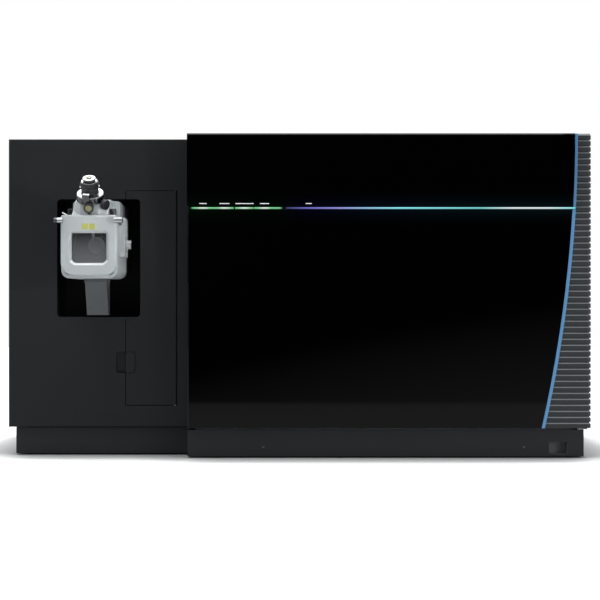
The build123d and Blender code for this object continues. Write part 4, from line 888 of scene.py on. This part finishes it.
# ---------------------------------------------------------------- studio
@dataclass(frozen=True)
class Lamp:
    """A square soft lamp aimed at a point.

    Attributes:
        name: Lamp name.
        place: Where it hangs.
        target: What it looks at.
        size: Side of the lamp.
        power: Power in watts.
        beam: Width of its beam in degrees.
    """

    name: str
    place: tuple[float, float, float]
    target: tuple[float, float, float]
    size: float
    power: float
    beam: float = 180.0

    def build(self) -> None:
        """Hangs the lamp."""
        data = bpy.data.lights.new(self.name, "AREA")
        data.spread = math.radians(self.beam)
        data.size = self.size
        data.energy = self.power
        lamp = bpy.data.objects.new(self.name, data)
        lamp.location = self.place
        aim = Vector(self.target) - Vector(self.place)
        lamp.rotation_euler = aim.to_track_quat("-Z", "Y").to_euler()
        bpy.context.scene.collection.objects.link(lamp)


@dataclass
class Studio:
    """Pale floor, soft lights, pale surroundings and the camera.

    Attributes:
        distance: Camera to the source cabinet's front face.
        sight_x: X of the line of sight.
        sight_z: Height of the line of sight.
        view_width: Width seen at the source cabinet's front face.
        sensor: Sensor width in millimetres.
        paper_ahead: How far ahead of the instrument the floor paper reaches.
        paper_reach: How far it reaches to each side and behind.
        shadow_reach: How far from the instrument the paper carries a painted contact shadow.
        paper_shadow_tone: The paper's tone, by how open the floor is, which paints the contact shadow.
        paper_lift: How much brighter the camera sees open paper than its light alone makes it.
        lift_span: Openness at which that lift begins and is full.
        slant: Slope of the line where the bright part of the room's lower half ends.
        slant_rise: Height of that line straight ahead.
        tilt: How much dimmer the room is ahead of the instrument than behind it.
        room_foot: Height at which the room's ramp starts, before its rise and its tilt.
        room_height: Height that the ramp covers.
        room_strength: Strength of the room's light.
        room: Brightness of the room from low ahead to high behind, as shares of its strength.
        room_tint: Colour of the room's light.
        lamps: A large lamp overhead, small ones at the sides and a narrow beam on the source's right side.
    """

    distance: float = 4.0
    sight_x: float = 0.0075
    sight_z: float = 0.404
    view_width: float = 1.56
    sensor: float = 36.0
    paper_ahead: float = 2.4
    paper_reach: float = 9.0
    shadow_reach: float = 0.16
    paper_shadow_tone: tuple[Span, ...] = ((0.5, 0.4), (0.95, 0.88))
    paper_lift: float = 0.35
    lift_span: Span = (0.8, 1.0)
    slant: float = 0.207
    slant_rise: float = 0.035
    tilt: float = 0.35
    room_foot: float = -0.12
    room_height: float = 1.5
    room_strength: float = 1.3
    room_tint: Colour = (0.97, 0.985, 1.0)
    room: tuple[Span, ...] = (
        (0.0, 0.7),
        (0.04, 0.55),
        (0.072, 0.2),
        (0.082, 0.0),
        (0.2, 0.02),
        (0.3, 0.12),
        (0.5, 0.5),
        (0.7, 0.8),
        (1.0, 1.0),
    )
    lamps: tuple[Lamp, ...] = (
        Lamp("top_lamp", (0.0, 0.5, 3.2), (0.0, 0.0, 0.4), 2.2, 62),
        Lamp("left_lamp", (-0.9, -1.1, 1.75), (-0.65, -0.22, 0.85), 0.4, 7.0),
        Lamp("low_lamp", (-1.9, -1.5, 0.25), (-0.7, -0.2, 0.0), 0.5, 2.0),
        Lamp("right_lamp", (2.4, -2.4, 0.55), (0.2, -0.3, 0.3), 0.9, 24),
        Lamp("source_lamp", (1.45, -1.95, 0.75), (-0.5, -0.35, 0.6), 0.3, 0.28, 16.0),
    )

    def build(self) -> None:
        """Builds the stage, the lights, the sky and the camera."""
        self.paper()
        for lamp in self.lamps:
            lamp.build()
        self.sky()
        self.camera()

    def paper(self) -> None:
        """A flat sheet of white paper that ends a little way ahead of the instrument."""
        reach = self.paper_reach
        mesh = bmesh.new()
        corners = [(-reach, -self.paper_ahead), (reach, -self.paper_ahead), (reach, reach), (-reach, reach)]
        mesh.faces.new([mesh.verts.new((x, y, 0)) for x, y in corners])
        data = bpy.data.meshes.new("studio_floor")
        mesh.to_mesh(data)
        mesh.free()
        data.materials.append(self.paper_material())
        floor = bpy.data.objects.new("studio_floor", data)
        bpy.context.scene.collection.objects.link(floor)

    def paper_material(self) -> bpy.types.Material:
        """White paper with a painted contact shadow close to the instrument, and lifted to plain white for
        the camera.
        """
        nodes = Nodes("studio_paper")
        shader = nodes.add("ShaderNodeBsdfPrincipled")
        # painted shadow: ambient occlusion darkens the paper's colour close to the instrument
        painted_shadow_ao = nodes.add("ShaderNodeAmbientOcclusion")
        painted_shadow_ao.inputs["Distance"].default_value = self.shadow_reach
        open_floor = painted_shadow_ao.outputs["AO"]
        tones = tuple((share, (level, level, level)) for share, level in self.paper_shadow_tone)
        nodes.link(nodes.ramp(open_floor, tones), shader.inputs["Base Color"])
        seen = nodes.add("ShaderNodeLightPath")
        lift = nodes.add("ShaderNodeMath", operation="MULTIPLY")
        nodes.link(nodes.span(open_floor, self.lift_span, (0.0, self.paper_lift)), lift.inputs[0])
        nodes.link(seen.outputs["Is Camera Ray"], lift.inputs[1])
        nodes.link(lift.outputs["Value"], shader.inputs["Emission Strength"])
        shader.inputs["Emission Color"].default_value = (1, 1, 1, 1)
        shader.inputs["Roughness"].default_value = 0.9
        shader.inputs["Specular IOR Level"].default_value = 0.1
        nodes.link(shader.outputs["BSDF"], nodes.output.inputs["Surface"])
        return nodes.material

    def sky(self) -> None:
        """Studio surroundings: bright overhead, dark at eye level, pale again low ahead like more floor.

        The low bright part ends on a slanted line, which the gloss front mirrors. Where the camera looks
        past the paper it sees plain white.
        """
        world = bpy.data.worlds.new("studio_air")
        world.use_nodes = True
        world.node_tree.nodes.clear()
        nodes = Nodes.over(world.node_tree)
        where = nodes.add("ShaderNodeTexCoord")
        slant = nodes.add("ShaderNodeVectorMath", operation="DOT_PRODUCT")
        slant.inputs[1].default_value = (-self.slant, self.tilt, 1.0)
        nodes.link(where.outputs["Generated"], slant.inputs[0])
        foot = self.room_foot - self.slant_rise - self.tilt
        share = nodes.span(slant.outputs["Value"], (foot, foot + self.room_height), (0.0, 1.0))
        stops = tuple((place, tuple(level * tint for tint in self.room_tint)) for place, level in self.room)
        room = nodes.add("ShaderNodeBackground")
        room.inputs["Strength"].default_value = self.room_strength
        nodes.link(nodes.ramp(share, stops), room.inputs["Color"])
        white = nodes.add("ShaderNodeBackground")
        white.inputs["Color"].default_value = (1, 1, 1, 1)
        path = nodes.add("ShaderNodeLightPath")
        mix = nodes.add("ShaderNodeMixShader")
        nodes.link(path.outputs["Is Camera Ray"], mix.inputs["Fac"])
        nodes.link(room.outputs["Background"], mix.inputs[1])
        nodes.link(white.outputs["Background"], mix.inputs[2])
        output = nodes.add("ShaderNodeOutputWorld")
        nodes.link(mix.outputs["Shader"], output.inputs["Surface"])
        bpy.context.scene.world = world

    def camera(self) -> None:
        """A level camera straight ahead of the instrument."""
        data = bpy.data.cameras.new("front_camera")
        data.sensor_width = self.sensor
        data.lens = self.sensor * self.distance / self.view_width
        camera = bpy.data.objects.new("front_camera", data)
        camera.location = (self.sight_x, low("left_front_panel").y - self.distance, self.sight_z)
        camera.rotation_euler = (math.radians(90), 0, 0)
        bpy.context.scene.collection.objects.link(camera)
        bpy.context.scene.camera = camera


# ---------------------------------------------------------------- faces with a finish of their own
def in_pocket(centre: Vector, normal: Vector) -> bool:
    """Whether a face of the right plinth is inside its finger pocket."""
    face = low("right_plinth").y
    return within(centre, (0.64, face + 0.0005, 0.008), (0.70, face + 0.04, 0.045))


def on_highlit_rib_top(centre: Vector, normal: Vector) -> bool:
    """Whether a face of the ribbed panel is the sloping top of a rib, which takes a painted highlight."""
    return 0.3 < normal.z < 0.95


def in_highlit_window_bevel(centre: Vector, normal: Vector) -> bool:
    """Whether a face of the cover is on the lower part of the bevel round its window, which takes a painted
    highlight.
    """
    glass_low, glass_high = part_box("window_glass")
    lowest = glass_low.x - 0.004, -math.inf, glass_low.z - 0.004
    highest = glass_high.x + 0.004, glass_low.y, glass_low.z + 0.02
    return within(centre, lowest, highest) and 0.3 < normal.z < 0.95 and normal.y < -0.3


def main() -> None:
    """Dresses the frame, adds the small pieces and sets the studio."""
    logging.basicConfig(level=logging.INFO, format="%(message)s")
    bpy.context.scene.view_settings.view_transform = "Standard"
    node_dressing().build()
    LightLine().build()
    pane = low("window_glass").z, high("window_glass").z
    tint = (0.88, 0.9, 0.9)
    # painted light: the window glass is paler towards its foot
    Dressing.dress("window_glass", Sight("sight_glass", tint, (0.4, 0.03), pane).material())
    Dressing.dress("syringe_barrel", Sight("barrel_glass", tint, (0.1, 0.1), (0.0, 1.0)).material())
    # painted light inside the right plinth's finger pocket
    dress_faces("right_plinth", Finishes.POCKET_LIGHT, in_pocket)
    # painted highlight on the up-facing slopes of the ribs
    dress_faces("ribbed_corner", Finishes.RIB_HIGHLIGHT, on_highlit_rib_top)
    PlinthScrews().build()
    SourceTrim().build()
    Studio().build()


if __name__ == "__main__":
    main()
